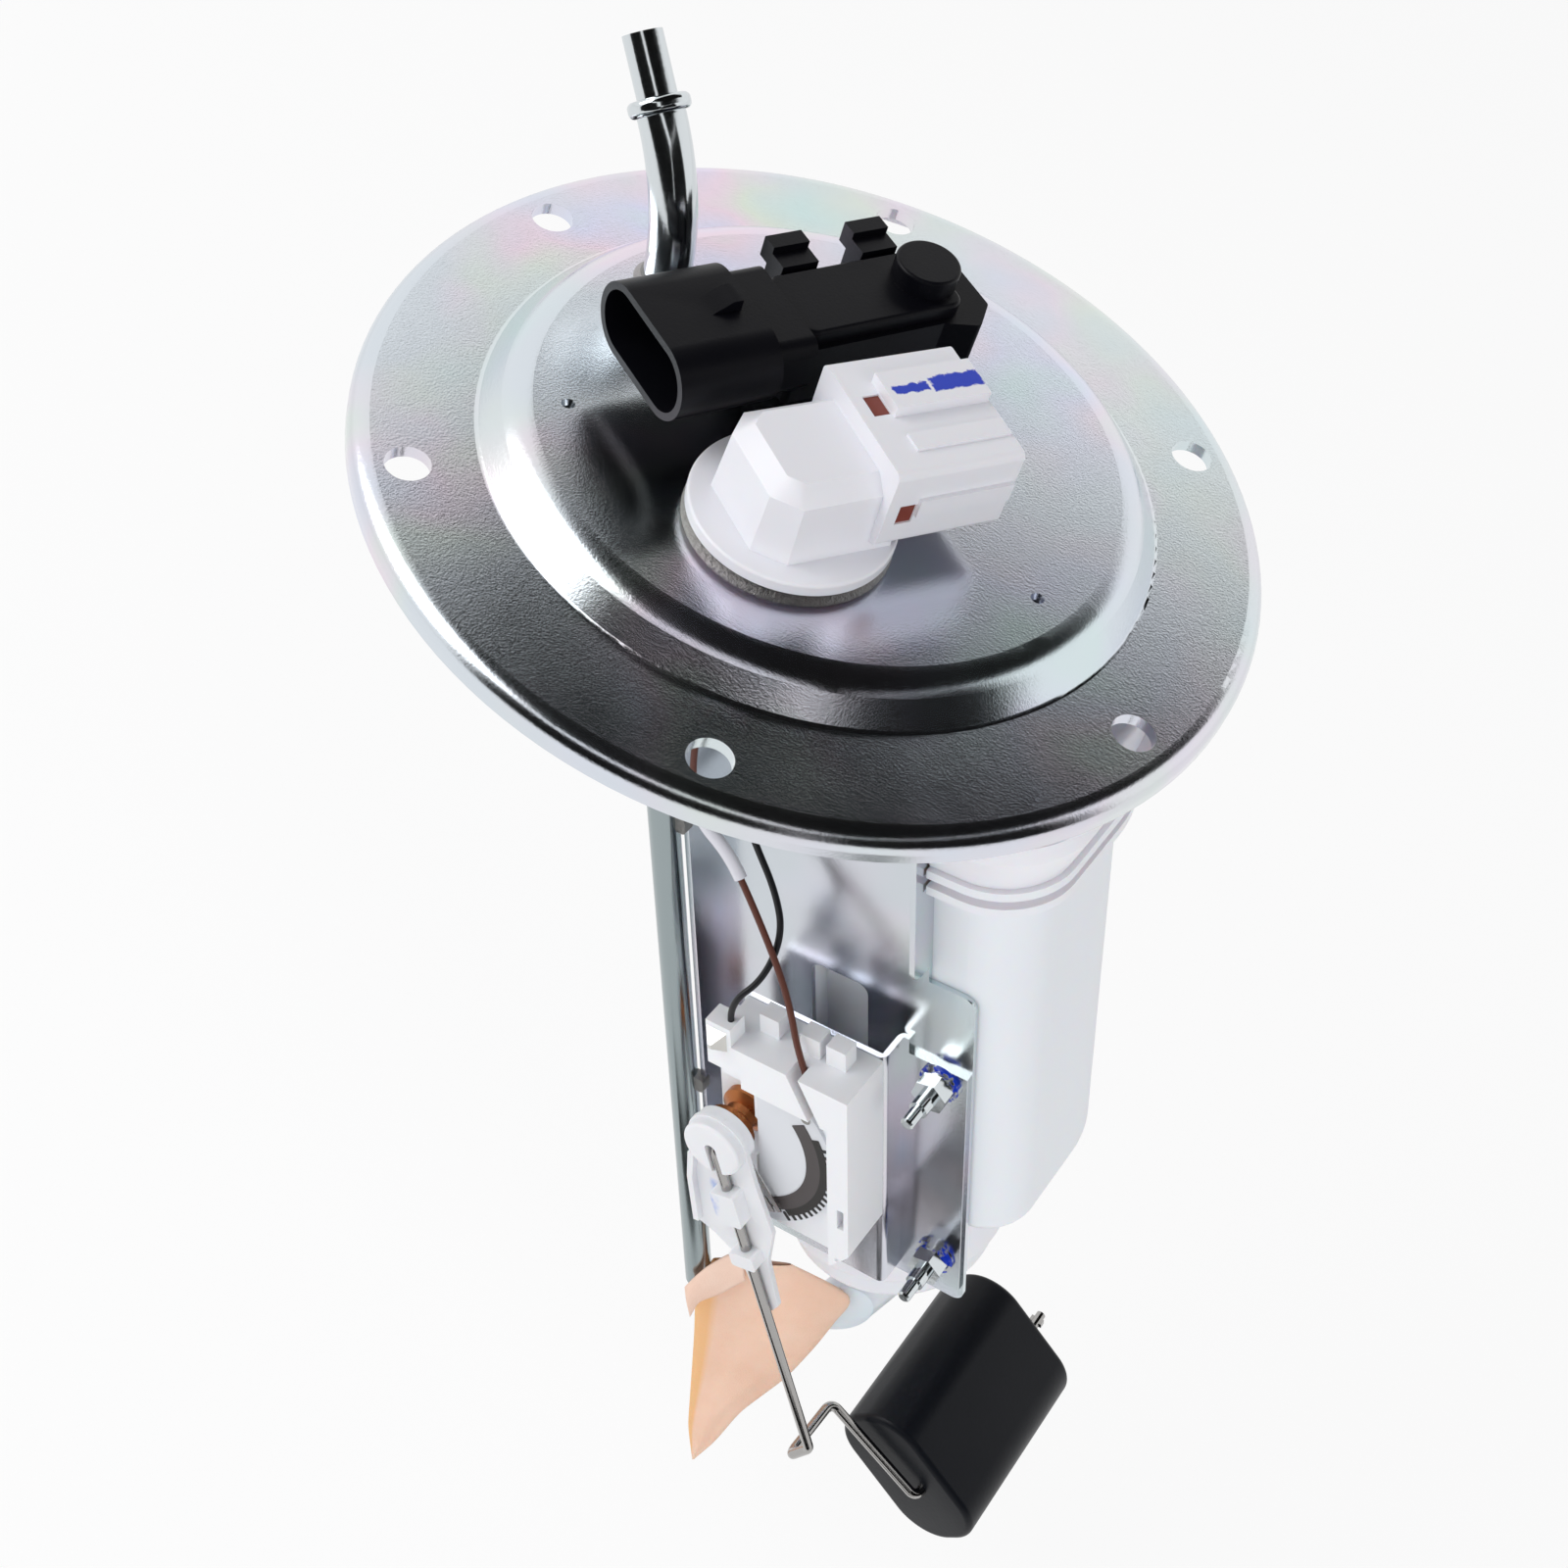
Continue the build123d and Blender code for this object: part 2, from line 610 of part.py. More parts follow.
with BuildPart() as housing:
    with BuildSketch(facing(SENDER_BACK)):
        with BuildLine():
            Polyline((3, -112), (9, -101), (41.5, -101), (41.5, -149), (36, -156), (6, -156), (3, -151), (3, -112))
        make_face()
    extrude(amount=3.0)
    with BuildSketch(facing(BASE_FRONT)):
        with BuildLine():
            Polyline((8, -101), (41.5, -101), (41.5, -149), (36, -156), (16, -156), (16, -116), (8, -116), (8, -101))
        make_face()
    extrude(amount=BASE_FRONT - SENDER_FRONT)
    # Floor that carries the resistor card
    with BuildSketch(facing(SENDER_FRONT)):
        with Locations((26, -135.5)):
            Rectangle(21.0, 47.0)
    extrude(amount=SENDER_FRONT - CARD_FLOOR, mode=Mode.SUBTRACT)
    # Round clearing for the pivot
    with BuildSketch(facing(BASE_FRONT)):
        with Locations((PIVOT_A, PIVOT_H)):
            Circle(8.6)
    extrude(amount=20, mode=Mode.SUBTRACT)
    # Step down at the upper left and the stand of the black wire's terminal
    with BuildSketch(facing(SENDER_FRONT)):
        with Locations((11.5, -112.5)):
            Rectangle(9.0, 8.0)
    extrude(amount=-4.5, mode=Mode.SUBTRACT)
    with BuildSketch(facing(SENDER_FRONT + 5.0)):
        with Locations((11, -99.5)):
            Rectangle(6.0, 7.0)
    extrude(amount=5.0)
    # Clips at the top edge and the groove that the brown wire lies in
    for a in (18.7, 28.4, 34.5):
        with BuildSketch(facing(BASE_FRONT + 0.4)):
            with Locations((a, -98.7)):
                Rectangle(4.6, 5.6)
        extrude(amount=4.0)
    with BuildSketch(facing(SENDER_FRONT)):
        with Locations(Location((31.3, -107, 0), (0, 0, 25))):
            Rectangle(2.6, 16.0)
    extrude(amount=SENDER_FRONT - CARD_FLOOR, mode=Mode.SUBTRACT)
    # Slot in the right-hand wall and the ejector mark below it
    with BuildSketch(facing(SENDER_FRONT)):
        with Locations((39.6, -138.0)):
            Rectangle(1.6, 6.0)
        with Locations((38.6, -152.0)):
            Circle(0.6)
    extrude(amount=-3.0, mode=Mode.SUBTRACT)
save(housing, "sender_housing")

with BuildPart() as card:
    with BuildSketch(facing(CARD_FLOOR)):
        with Locations((PIVOT_A, PIVOT_H)):
            Circle(25.8)
        with Locations((26.5, -134.0)):
            Rectangle(18.6, 41.0, mode=Mode.INTERSECT)
    extrude(amount=0.8)
save(card, "resistor_card")


def on_track(r, angle):
    """Point of the sender's front at a radius and angle from the pivot."""
    return (PIVOT_A + r * cos(radians(angle)), PIVOT_H + r * sin(radians(angle)))


with BuildPart() as track:
    with BuildSketch(facing(CARD_FRONT)):
        with BuildLine():
            ThreePointArc(on_track(TRACK_IN, -58), on_track(TRACK_IN, -12), on_track(TRACK_IN, 34))
            ThreePointArc(on_track(TRACK_MID, -58), on_track(TRACK_MID, -12), on_track(TRACK_MID, 34))
            Line(on_track(TRACK_IN, -58), on_track(TRACK_MID, -58))
            Line(on_track(TRACK_IN, 34), on_track(TRACK_MID, 34))
        make_face()
    extrude(amount=0.2)
save(track, "resistor_track")

with BuildPart() as comb:
    with BuildSketch(facing(CARD_FRONT)):
        with BuildLine():
            ThreePointArc(on_track(TRACK_MID, -54), on_track(TRACK_MID, -12), on_track(TRACK_MID, 24))
            ThreePointArc(on_track(TRACK_OUT - 1, -54), on_track(TRACK_OUT - 1, -12), on_track(TRACK_OUT - 1, 24))
            Line(on_track(TRACK_MID, -54), on_track(TRACK_OUT - 1, -54))
            Line(on_track(TRACK_MID, 24), on_track(TRACK_OUT - 1, 24))
        make_face()
        for step in range(17):
            angle = -56 + 4.6 * step
            with Locations(on_track(TRACK_OUT - 0.9, angle)):
                Rectangle(2.4, 0.7, rotation=angle)
        with Locations((26.5, -134.0)):
            Rectangle(18.6, 41.0, mode=Mode.INTERSECT)
        with Locations((PIVOT_A, PIVOT_H)):
            Circle(TRACK_MID, mode=Mode.SUBTRACT)
    extrude(amount=0.2)
save(comb, "resistor_comb")

# Spring terminals: one clasp on the stand, one pad beside the card
with BuildPart() as terminals:
    with BuildSketch(facing(SENDER_FRONT)):
        with Locations((10.6, -100.2)):
            Rectangle(4.8, 5.2)
    extrude(amount=2.6, taper=38)
    # Crimp of the brown wire on its foot
    with BuildSketch(Plane(origin=point(33.9, -54.4, -112.0), z_dir=point(5.5, -0.8, -11.5))):
        Circle(0.95)
    extrude(amount=2.4)
    with BuildSketch(facing(CARD_FLOOR)):
        with Locations((34.4, -113.4)):
            Rectangle(1.6, 1.6)
    extrude(amount=1.9)
    with BuildSketch(facing(CARD_FRONT)):
        with Locations((27.0, -115.6)):
            Rectangle(5.6, 0.9, rotation=-20)
        with Locations((29.4, -116.4)):
            Circle(1.1)
    extrude(amount=0.35)
save(terminals, "sender_terminals")

# Pivot, arm and float
BUSH_R = 5.6
BUSH_LENGTH = 8.2
BUSH_FRONT = BASE_FRONT - BUSH_LENGTH
HOLDER_BACK = SENDER_FRONT - GAP
ROD_BEND = 2.4
ROD_TIP_Y = 19.0
CRANK_Y = -42.6
FLOAT_A = 51.0
FLOAT_H = -251.0

with BuildPart() as bush:
    with BuildSketch(Plane(origin=point(PIVOT_A, BASE_FRONT, PIVOT_H), x_dir=ALONG, z_dir=UP)):
        with BuildLine():
            Polyline(
                (0, 0),
                (BUSH_R, 0),
                (BUSH_R, -1.8),
                (BUSH_R - 2.0, -3.2),
                (BUSH_R - 2.0, -BUSH_LENGTH + 3.2),
                (BUSH_R, -BUSH_LENGTH + 1.8),
                (BUSH_R, -BUSH_LENGTH),
                (0, -BUSH_LENGTH),
                (0, 0),
            )
        make_face()
    revolve(axis=Axis(point(PIVOT_A, 0, PIVOT_H), (0, 1, 0)))
    with BuildSketch(facing(BASE_FRONT - 0.6)):
        with Locations((PIVOT_A, PIVOT_H)):
            Circle(ROD_R + RUN)
    extrude(amount=BUSH_LENGTH, mode=Mode.SUBTRACT)
save(bush, "pivot_bush")

with BuildPart() as rod:
    with BuildLine():
        FilletPolyline(
            point(PIVOT_A, BASE_FRONT - 0.8, PIVOT_H),
            point(PIVOT_A, ROD_Y, PIVOT_H),
            point(32.1, ROD_Y, -223.7),
            point(26.4, ROD_Y, -231.5),
            point(27.1, CRANK_Y, -231.0),
            point(FLOAT_A, CRANK_Y, FLOAT_H),
            point(FLOAT_A, ROD_TIP_Y, FLOAT_H),
            radius=ROD_BEND,
        )
    with BuildSketch(facing(BASE_FRONT - 0.8)):
        with Locations((PIVOT_A, PIVOT_H)):
            Circle(ROD_R)
    sweep()
    # Flats pressed into the tip keep the float on
    with BuildSketch(facing(ROD_TIP_Y - 3.2)):
        with Locations((FLOAT_A, FLOAT_H)):
            Rectangle(3.4, 1.4)
    extrude(amount=-1.6)
save(rod, "float_rod")

rod_run = Vector(32.1 - PIVOT_A, -223.7 - PIVOT_H).normalized()
ARM = Plane(
    origin=point(PIVOT_A, HOLDER_BACK, PIVOT_H),
    x_dir=tuple(rod_run.X * along + rod_run.Y * up for along, up in zip(ALONG, UP)),
    z_dir=(0, -1, 0),
)

with BuildPart() as holder:
    with BuildSketch(ARM):
        with BuildLine():
            Polyline(
                (0, -7.2),
                (12, -11.5),
                (27, -14.0),
                (30, -9.5),
                (36, -4.0),
                (48, -2.6),
                (51, 0),
                (48, 3.0),
                (34, 4.0),
                (24, 8.0),
                (10, 7.2),
                (0, 7.2),
                (0, -7.2),
            )
        make_face()
        Circle(7.4)
        fillet(vertices().group_by(Axis.X)[-1], 1.2)
    extrude(amount=1.2)
    # Boss that closes the pivot
    with BuildSketch(ARM.offset(HOLDER_BACK - BUSH_FRONT + GAP)):
        Circle(7.0)
    extrude(amount=-(HOLDER_BACK - BUSH_FRONT + GAP))
    with BuildSketch(ARM.offset(1.2)):
        Circle(7.0)
    extrude(amount=2.6)
    fillet(edges().filter_by(GeomType.CIRCLE).group_by(Axis.Y)[0], 0.8)
    # Clips over the rod
    for u, length in ((16.5, 9.0), (32.0, 4.0)):
        with BuildSketch(ARM.offset(1.2)):
            with Locations((u, 0)):
                RectangleRounded(length, 6.4, 0.8)
        extrude(amount=3.6)
    # Stiffening rib along the outer edge
    with BuildSketch(ARM.offset(1.2)):
        with BuildLine():
            Polyline((4, -8.0), (12, -10.6), (26, -13.0), (26, -11.6), (12, -9.2), (4, -6.4), (4, -8.0))
        make_face()
    extrude(amount=1.6)
    # Slot over the rod's hook, bore of the hook and bore along the arm
    with BuildSketch(ARM):
        with Locations((4.0, 0)):
            SlotOverall(11.0, 2.8)
    extrude(amount=6, mode=Mode.SUBTRACT)
    with BuildSketch(ARM.offset(-5)):
        Circle(ROD_R)
    extrude(amount=8, mode=Mode.SUBTRACT)
    with BuildSketch(Plane(origin=ARM.from_local_coords((0, 0, HOLDER_BACK - ROD_Y)), z_dir=ARM.x_dir)):
        Circle(ROD_R)
    extrude(amount=60, mode=Mode.SUBTRACT)
save(holder, "arm_holder")

# Contact spring with two fingers, each with a bud that rides on the track
WIPER_ANGLE = 19.0
WIPER_TIP = 22.0
WIPER_ROOT = 6.2
WIPER = Plane(
    origin=point(PIVOT_A, BUSH_FRONT - GAP, PIVOT_H),
    x_dir=ARM.x_dir.rotate(Axis((0, 0, 0), (0, -1, 0)), WIPER_ANGLE),
    z_dir=(0, -1, 0),
)

with BuildPart() as wiper:
    with BuildSketch(WIPER):
        with Locations(((WIPER_ROOT + WIPER_TIP) / 2, 0)):
            Rectangle(WIPER_TIP - WIPER_ROOT, 3.4)
        with Locations((WIPER_TIP - 4.0, 0)):
            Rectangle(8.0, 0.8, mode=Mode.SUBTRACT)
    extrude(amount=-0.3)
    with BuildSketch(WIPER):
        with Locations((WIPER_TIP - 1.2, -1.05), (WIPER_TIP - 1.2, 1.05)):
            Circle(0.5)
    extrude(amount=BUSH_FRONT - GAP - CARD_FRONT + 0.2 + RUN)
save(wiper, "wiper_contact")

with BuildPart() as float_body:
    tilt = degrees(atan2(-0.737, 0.676))
    with BuildSketch(facing(-40.0)):
        with Locations(Location((46.5, -250.5, 0), (0, 0, tilt))):
            RectangleRounded(40.0, 24.5, 10.8)
        with Locations((FLOAT_A, FLOAT_H)):
            Circle(ROD_R + RUN, mode=Mode.SUBTRACT)
    extrude(amount=-55.0)
save(float_body, "float")

# Filter housing and its cap


def house_section(grow):
    """Outline of the filter housing, grown outwards by a given amount."""
    with BuildSketch() as outline:
        Rectangle(HOUSE_W + 2 * grow, HOUSE_D + 2 * grow)
        fillet(outline.vertices().group_by(Axis.Y)[0], FRONT_ROUND + grow)
        fillet(outline.vertices().group_by(Axis.Y)[-1], BACK_ROUND + grow)
    return outline.sketch


with BuildPart() as canister:
    with BuildSketch(level(HOUSE_BOTTOM, HOUSE_A, HOUSE_Y)):
        add(house_section(0))
    extrude(amount=HOUSE_TOP - HOUSE_BOTTOM)
    foot = edges().group_by(Axis(point(0, 0, 0), UP))[0]
    fillet(foot, 3.0)
    with BuildSketch(level(HOUSE_BOTTOM + 3, HOUSE_A, HOUSE_Y)):
        add(house_section(-WALL))
    extrude(amount=HOUSE_TOP - HOUSE_BOTTOM, mode=Mode.SUBTRACT)
    # Pocket behind the plate's window
    with BuildSketch(facing(PLATE_BACK)):
        with Locations((25.75, -109)):
            Rectangle(17.5, 37.0)
    extrude(amount=-6.5)
    with BuildSketch(facing(PLATE_BACK)):
        with Locations((25.75, -109)):
            Rectangle(13.5, 33.0)
    extrude(amount=-4.5, mode=Mode.SUBTRACT)
    # Hole of the pump through the floor
    with BuildSketch(level(HOUSE_BOTTOM, PUMP_A, PUMP_Y)):
        Circle(PUMP_R)
    extrude(amount=6, both=True, mode=Mode.SUBTRACT)
save(canister, "pump_housing")

with BuildPart() as cap:
    for h, grow, height in ((-57.0, 3.7, 2.0), (-53.0, 3.7, 2.0), (-55.0, 1.6, 2.0)):
        with BuildSketch(level(h, HOUSE_A, HOUSE_Y)):
            add(house_section(grow))
        extrude(amount=height)
    with BuildSketch(level(-51.0, HOUSE_A, HOUSE_Y)):
        add(house_section(2.4))
    with BuildSketch(level(-41.0, HOUSE_A, HOUSE_Y)):
        add(house_section(7.0))
    loft()
    with BuildSketch(level(-41.0, HOUSE_A, HOUSE_Y)):
        add(house_section(7.0))
    extrude(amount=4.0)
    with BuildSketch(level(-37.0, HOUSE_A, HOUSE_Y)):
        add(house_section(4.5))
    extrude(amount=CAP_TOP + 37.0)
    fillet(edges().group_by(Axis(point(0, 0, 0), UP))[-1], 2.0)
    # Hollow inside
    with BuildSketch(level(-58.0, HOUSE_A, HOUSE_Y)):
        add(house_section(-WALL))
    extrude(amount=CAP_TOP + 58.0 - 2.5, mode=Mode.SUBTRACT)
    # Flat against the back of the hanger plate
    with BuildSketch(facing(PLATE_BACK)):
        with Locations((PLATE_RIGHT + GAP - 40, -45)):
            Rectangle(80, 60)
    extrude(amount=20, mode=Mode.SUBTRACT)
    with BuildSketch(level(CAP_TOP, 2.0, PIPE_Y)):
        Circle(6.0)
    extrude(amount=3.0)
    with BuildSketch(level(CAP_TOP - 4, 2.0, PIPE_Y)):
        Circle(PIPE_R)
    extrude(amount=8.0, mode=Mode.SUBTRACT)
save(cap, "housing_cap")

nipple_corner = point(2.0, PIPE_Y, at_z(HOSE_Z, 2.0))
with BuildPart() as nipple:
    with BuildLine():
        FilletPolyline(
            point(2.0, PIPE_Y, CAP_TOP - 2.5),
            nipple_corner,
            (PIPE_LOW_END + 2.0, PIPE_Y, HOSE_Z),
            radius=8.0,
        )
    with BuildSketch(level(CAP_TOP - 2.5, 2.0, PIPE_Y)):
        Circle(PIPE_R)
        Circle(PIPE_R - 1.4, mode=Mode.SUBTRACT)
    sweep()
save(nipple, "outlet_nipple")

with BuildPart() as hose:
    with BuildSketch(Plane.YZ.offset(PIPE_LOW_END - 13.0)):
        with Locations((PIPE_Y, HOSE_Z)):
            Circle(PIPE_R + 2.6)
            Circle(PIPE_R, mode=Mode.SUBTRACT)
    extrude(amount=28.0)
save(hose, "fuel_hose")

with BuildPart() as clamps:
    for x in (PIPE_LOW_END - 9.0, PIPE_LOW_END + 6.0):
        with BuildSketch(Plane.YZ.offset(x)):
            with Locations((PIPE_Y, HOSE_Z)):
                Circle(PIPE_R + 3.3)
            with Locations((PIPE_Y, HOSE_Z + PIPE_R + 4.6)):
                Rectangle(5.0, 4.0)
            with Locations((PIPE_Y, HOSE_Z)):
                Circle(PIPE_R + 2.6, mode=Mode.SUBTRACT)
        extrude(amount=6.0)
save(clamps, "hose_clamps")

with BuildPart() as filter_element:
    with BuildSketch(level(HOUSE_BOTTOM + 3.0, PUMP_A, PUMP_Y)):
        Circle(PUMP_R + 5.0)
        Circle(PUMP_R + 1.5, mode=Mode.SUBTRACT)
    extrude(amount=90.0)
save(filter_element, "filter_element")

with BuildPart() as regulator:
    with BuildSketch(level(CAP_TOP - 2.5, 53.0, -3.0)):
        Circle(9.0)
    extrude(amount=-14.0)
    with BuildSketch(level(CAP_TOP - 16.5, 53.0, -3.0)):
        Circle(6.0)
    extrude(amount=-6.0)
    chamfer(edges().group_by(Axis(point(0, 0, 0), UP))[0], 0.8)
save(regulator, "pressure_regulator")

# Pump
with BuildPart() as case:
    with BuildSketch(level(CASE_BOTTOM, PUMP_A, PUMP_Y)):
        Circle(PUMP_R)
        Circle(PUMP_R - 1.2, mode=Mode.SUBTRACT)
    extrude(amount=CASE_TOP - CASE_BOTTOM)
save(case, "pump_case")

with BuildPart() as magnets:
    with BuildSketch(level(-152, PUMP_A, PUMP_Y)):
        Circle(PUMP_R - 1.2)
        Circle(PUMP_R - 4.2, mode=Mode.SUBTRACT)
        Rectangle(10, 50, mode=Mode.SUBTRACT)
    extrude(amount=50.0)
save(magnets, "pump_magnets")

with BuildPart() as armature:
    with BuildSketch(level(-150, PUMP_A, PUMP_Y)):
        Circle(PUMP_R - 4.8)
        with PolarLocations(PUMP_R - 4.8, 8):
            Rectangle(5.0, 1.6, mode=Mode.SUBTRACT)
    extrude(amount=46.0)
    with BuildSketch(level(-104, PUMP_A, PUMP_Y)):
        Circle(8.0)
    extrude(amount=9.0)
    with BuildSketch(level(-175, PUMP_A, PUMP_Y)):
        Circle(SHAFT_R)
    extrude(amount=91.0)
save(armature, "pump_armature")

with BuildPart() as impeller:
    with BuildSketch(level(-168.6, PUMP_A, PUMP_Y)):
        Circle(15.0)
        with PolarLocations(13.6, 24):
            Rectangle(2.0, 1.4, mode=Mode.SUBTRACT)
        Circle(SHAFT_R, mode=Mode.SUBTRACT)
    extrude(amount=3.6)
save(impeller, "pump_impeller")

# Plates above and below the impeller, the lower one with the inlet stub
with BuildPart() as inlet_cover:
    with BuildSketch(level(CASE_BOTTOM, PUMP_A, PUMP_Y)):
        Circle(PUMP_R)
    extrude(amount=-8.0)
    with BuildSketch(level(CASE_BOTTOM, PUMP_A, PUMP_Y)):
        Circle(PUMP_R - 1.2)
    extrude(amount=1.2)
    with BuildSketch(level(CASE_BOTTOM - 8, PUMP_A, PUMP_Y)):
        Circle(5.0)
    extrude(amount=HOLDER_END - CASE_BOTTOM + 8 - 3.0)
    with BuildSketch(level(CASE_BOTTOM - 5.2, PUMP_A, PUMP_Y)):
        Circle(SHAFT_R + RUN)
    extrude(amount=8.0, mode=Mode.SUBTRACT)
    with BuildSketch(level(HOLDER_END - 3.0, PUMP_A, PUMP_Y)):
        Circle(3.4)
    extrude(amount=26.0, mode=Mode.SUBTRACT)
save(inlet_cover, "pump_inlet_cover")

with BuildPart() as pump_plate:
    with BuildSketch(level(-164.8, PUMP_A, PUMP_Y)):
        Circle(PUMP_R - 1.2)
        Circle(SHAFT_R + RUN, mode=Mode.SUBTRACT)
    extrude(amount=9.0)
save(pump_plate, "pump_upper_plate")

with BuildPart() as outlet_cover:
    with BuildSketch(level(CASE_TOP, PUMP_A, PUMP_Y)):
        Circle(PUMP_R)
    extrude(amount=7.0)
    fillet(edges().group_by(Axis(point(0, 0, 0), UP))[-1], 1.5)
    with BuildSketch(level(CASE_TOP, PUMP_A, PUMP_Y)):
        Circle(PUMP_R - 1.2)
        Circle(PUMP_R - 6.0, mode=Mode.SUBTRACT)
    extrude(amount=-8.0)
    with BuildSketch(level(CASE_TOP + 7, PUMP_A + 9.0, PUMP_Y)):
        Circle(4.2)
    extrude(amount=14.0)
    with BuildSketch(level(CASE_TOP - 2.0, PUMP_A + 9.0, PUMP_Y)):
        Circle(2.6)
    extrude(amount=24.0, mode=Mode.SUBTRACT)
    with BuildSketch(level(CASE_TOP - 0.5, PUMP_A, PUMP_Y)):
        Circle(SHAFT_R + RUN)
    extrude(amount=3.0, mode=Mode.SUBTRACT)
    with BuildSketch(level(CASE_TOP + 7, PUMP_A, PUMP_Y)):
        with Locations((-9, -6), (-9, 6)):
            Rectangle(6.0, 0.9)
    extrude(amount=9.0)
save(outlet_cover, "pump_outlet_cover")

with BuildPart() as brushes:
    for side in (-1, 1):
        with BuildSketch(level(-102, PUMP_A + side * 10.7, PUMP_Y)):
            Rectangle(5.2, 4.0)
        extrude(amount=5.0)
        with BuildSketch(level(-97, PUMP_A + side * 12.0, PUMP_Y)):
            Rectangle(2.6, 4.0)
        extrude(amount=3.0)
save(brushes, "pump_brushes")

# Lower holder and strainer
with BuildPart() as lower_holder:
    with BuildSketch(level(HOUSE_BOTTOM, HOLDER_A, HOLDER_Y)):
        Circle(HOLDER_R)
    extrude(amount=-39.0)
    fillet(edges().group_by(Axis(point(0, 0, 0), UP))[0], 1.6)
    with BuildSketch(level(-192, HOLDER_A, HOLDER_Y)):
        Circle(HOLDER_R - 2.8)
    extrude(amount=HOLDER_END + 192)
    fillet(edges().group_by(Axis(point(0, 0, 0), UP))[0], 2.0)
    with BuildSketch(level(-180.0, PUMP_A, PUMP_Y)):
        Circle(PUMP_R + 0.4)
    extrude(amount=30.0, mode=Mode.SUBTRACT)
    with BuildSketch(level(-200.0, HOLDER_A, HOLDER_Y)):
        Circle(HOLDER_R - 5.0)
    extrude(amount=20.0, mode=Mode.SUBTRACT)
    with BuildSketch(level(-206.0, PUMP_A, PUMP_Y)):
        Circle(5.0)
    extrude(amount=10.0, mode=Mode.SUBTRACT)
    # Rest for the inlet cover
    with BuildSketch(level(CASE_BOTTOM - 10.0, PUMP_A, PUMP_Y)):
        Circle(PUMP_R + 0.4)
        Circle(PUMP_R - 3.0, mode=Mode.SUBTRACT)
    extrude(amount=2.0)
    # Clear of the window's pocket and of the hanger plate
    with BuildSketch(facing(PLATE_BACK + 0.3)):
        with Locations((HOLDER_A, -170)):
            Rectangle(80, 80)
    extrude(amount=20, mode=Mode.SUBTRACT)
save(lower_holder, "lower_holder")

STRAINER = Plane(
    origin=point(-8, -50, -212),
    x_dir=point(0.8844, 0.4668, 0),
    z_dir=point(0.4564, -0.8648, 0.2094),
)
SOCK_THICK = 5.0

with BuildPart() as sock:
    with BuildSketch(STRAINER.offset(-SOCK_THICK)):
        with BuildLine():
            Polyline((9, 13.5), (24, 13.5), (34, 8), (40.5, 3.5), (35, -4))
            Spline((35, -4), (21, -20.5), (9, -37.5), (0, -51))
            Spline((0, -51), (-1.8, -36), (-1.2, -14), (3, 1.5))
            Line((3, 1.5), (9, 13.5))
        make_face()
    extrude(amount=SOCK_THICK)
    fillet(edges().group_by(SortBy.LENGTH)[-1], 1.0)
save(sock, "strainer_sock")

with BuildPart() as neck:
    with BuildLine():
        FilletPolyline(
            point(PUMP_A, PUMP_Y, HOLDER_END - 0.2),
            point(PUMP_A, PUMP_Y, HOLDER_END - 11),
            point(18, -40, HOLDER_END - 11),
            radius=7.5,
        )
    with BuildSketch(level(HOLDER_END - 0.2, PUMP_A, PUMP_Y)):
        Circle(6.6)
        Circle(5.0, mode=Mode.SUBTRACT)
    sweep()
    add(sock.part, mode=Mode.SUBTRACT)
    with BuildSketch(STRAINER.offset(-SOCK_THICK)):
        with Locations((20, 0)):
            Rectangle(120, 120)
    extrude(amount=60, mode=Mode.SUBTRACT)
save(neck, "strainer_neck")

# Wires
WIRE_R = 0.7
PUMP_WIRE_R = 0.65


def tab(along, across, z):
    """Place under the connector, counted in steps of its grid of wire tabs."""
    spot = CONN.from_local_coords((along * TAB_GRID, across * TAB_GRID, 0))
    return (spot.X, spot.Y, z)


def bend_radii(route):
    """Radii that leave a short straight run between neighbouring bends."""
    radii = []
    for before, here, after in zip(route, route[1:], route[2:]):
        run_in = Vector(here) - Vector(before)
        run_out = Vector(after) - Vector(here)
        turn = run_in.get_angle(run_out)
        radii.append(0.45 * min(run_in.length, run_out.length) / tan(radians(turn / 2)))
    return radii


brown_route = [
    point(33.9, -54.4, -112.0),
    point(28.4, -53.6, -100.5),
    point(23.2, -49.6, -87.0),
    point(15.0, -46.4, -74.5),
    point(7.0, -44.4, -62.0),
    point(0.5, -45.8, -53.5),
    point(-1.0, -44.6, -42.0),
    point(0.0, -41.6, -30.0),
    point(0.6, -39.6, -19.5),
    (3.2, -38.2, -10.0),
    tab(-1, 1, -5.6),
    tab(-1, 1, TAB_END),
]
black_route = [
    point(12.5, -54.4, -96.0),
    point(12.5, -54.4, -91.0),
    point(17.4, -49.6, -86.0),
    point(18.8, -44.4, -77.0),
    point(16.0, -42.6, -68.0),
    point(11.0, -41.8, -58.5),
    point(7.6, -42.0, -47.5),
    point(7.2, -40.4, -34.0),
    point(6.8, -39.4, -20.5),
    (9.8, -38.6, -9.6),
    tab(-1, -1, -5.2),
    tab(-1, -1, TAB_END),
]
red_pump_route = [
    tab(1, -1, TAB_END),
    tab(1, -1, -8.0),
    (19.0, -20.0, -15.0),
    point(20.0, -15.0, -21.0),
    point(20.0, -15.0, CAP_TOP),
]
black_pump_route = [
    tab(1, 1, TAB_END),
    tab(1, 1, -9.0),
    (12.0, -12.0, -16.0),
    point(12.0, -8.0, -21.0),
    point(12.0, -8.0, CAP_TOP),
]

with BuildPart() as brown_wire:
    with BuildLine() as brown_line:
        FilletPolyline(*brown_route, radius=bend_radii(brown_route))
    with BuildSketch(Plane(origin=brown_line.line @ 0, z_dir=brown_line.line % 0)):
        Circle(WIRE_R)
    sweep()
save(brown_wire, "brown_wire")

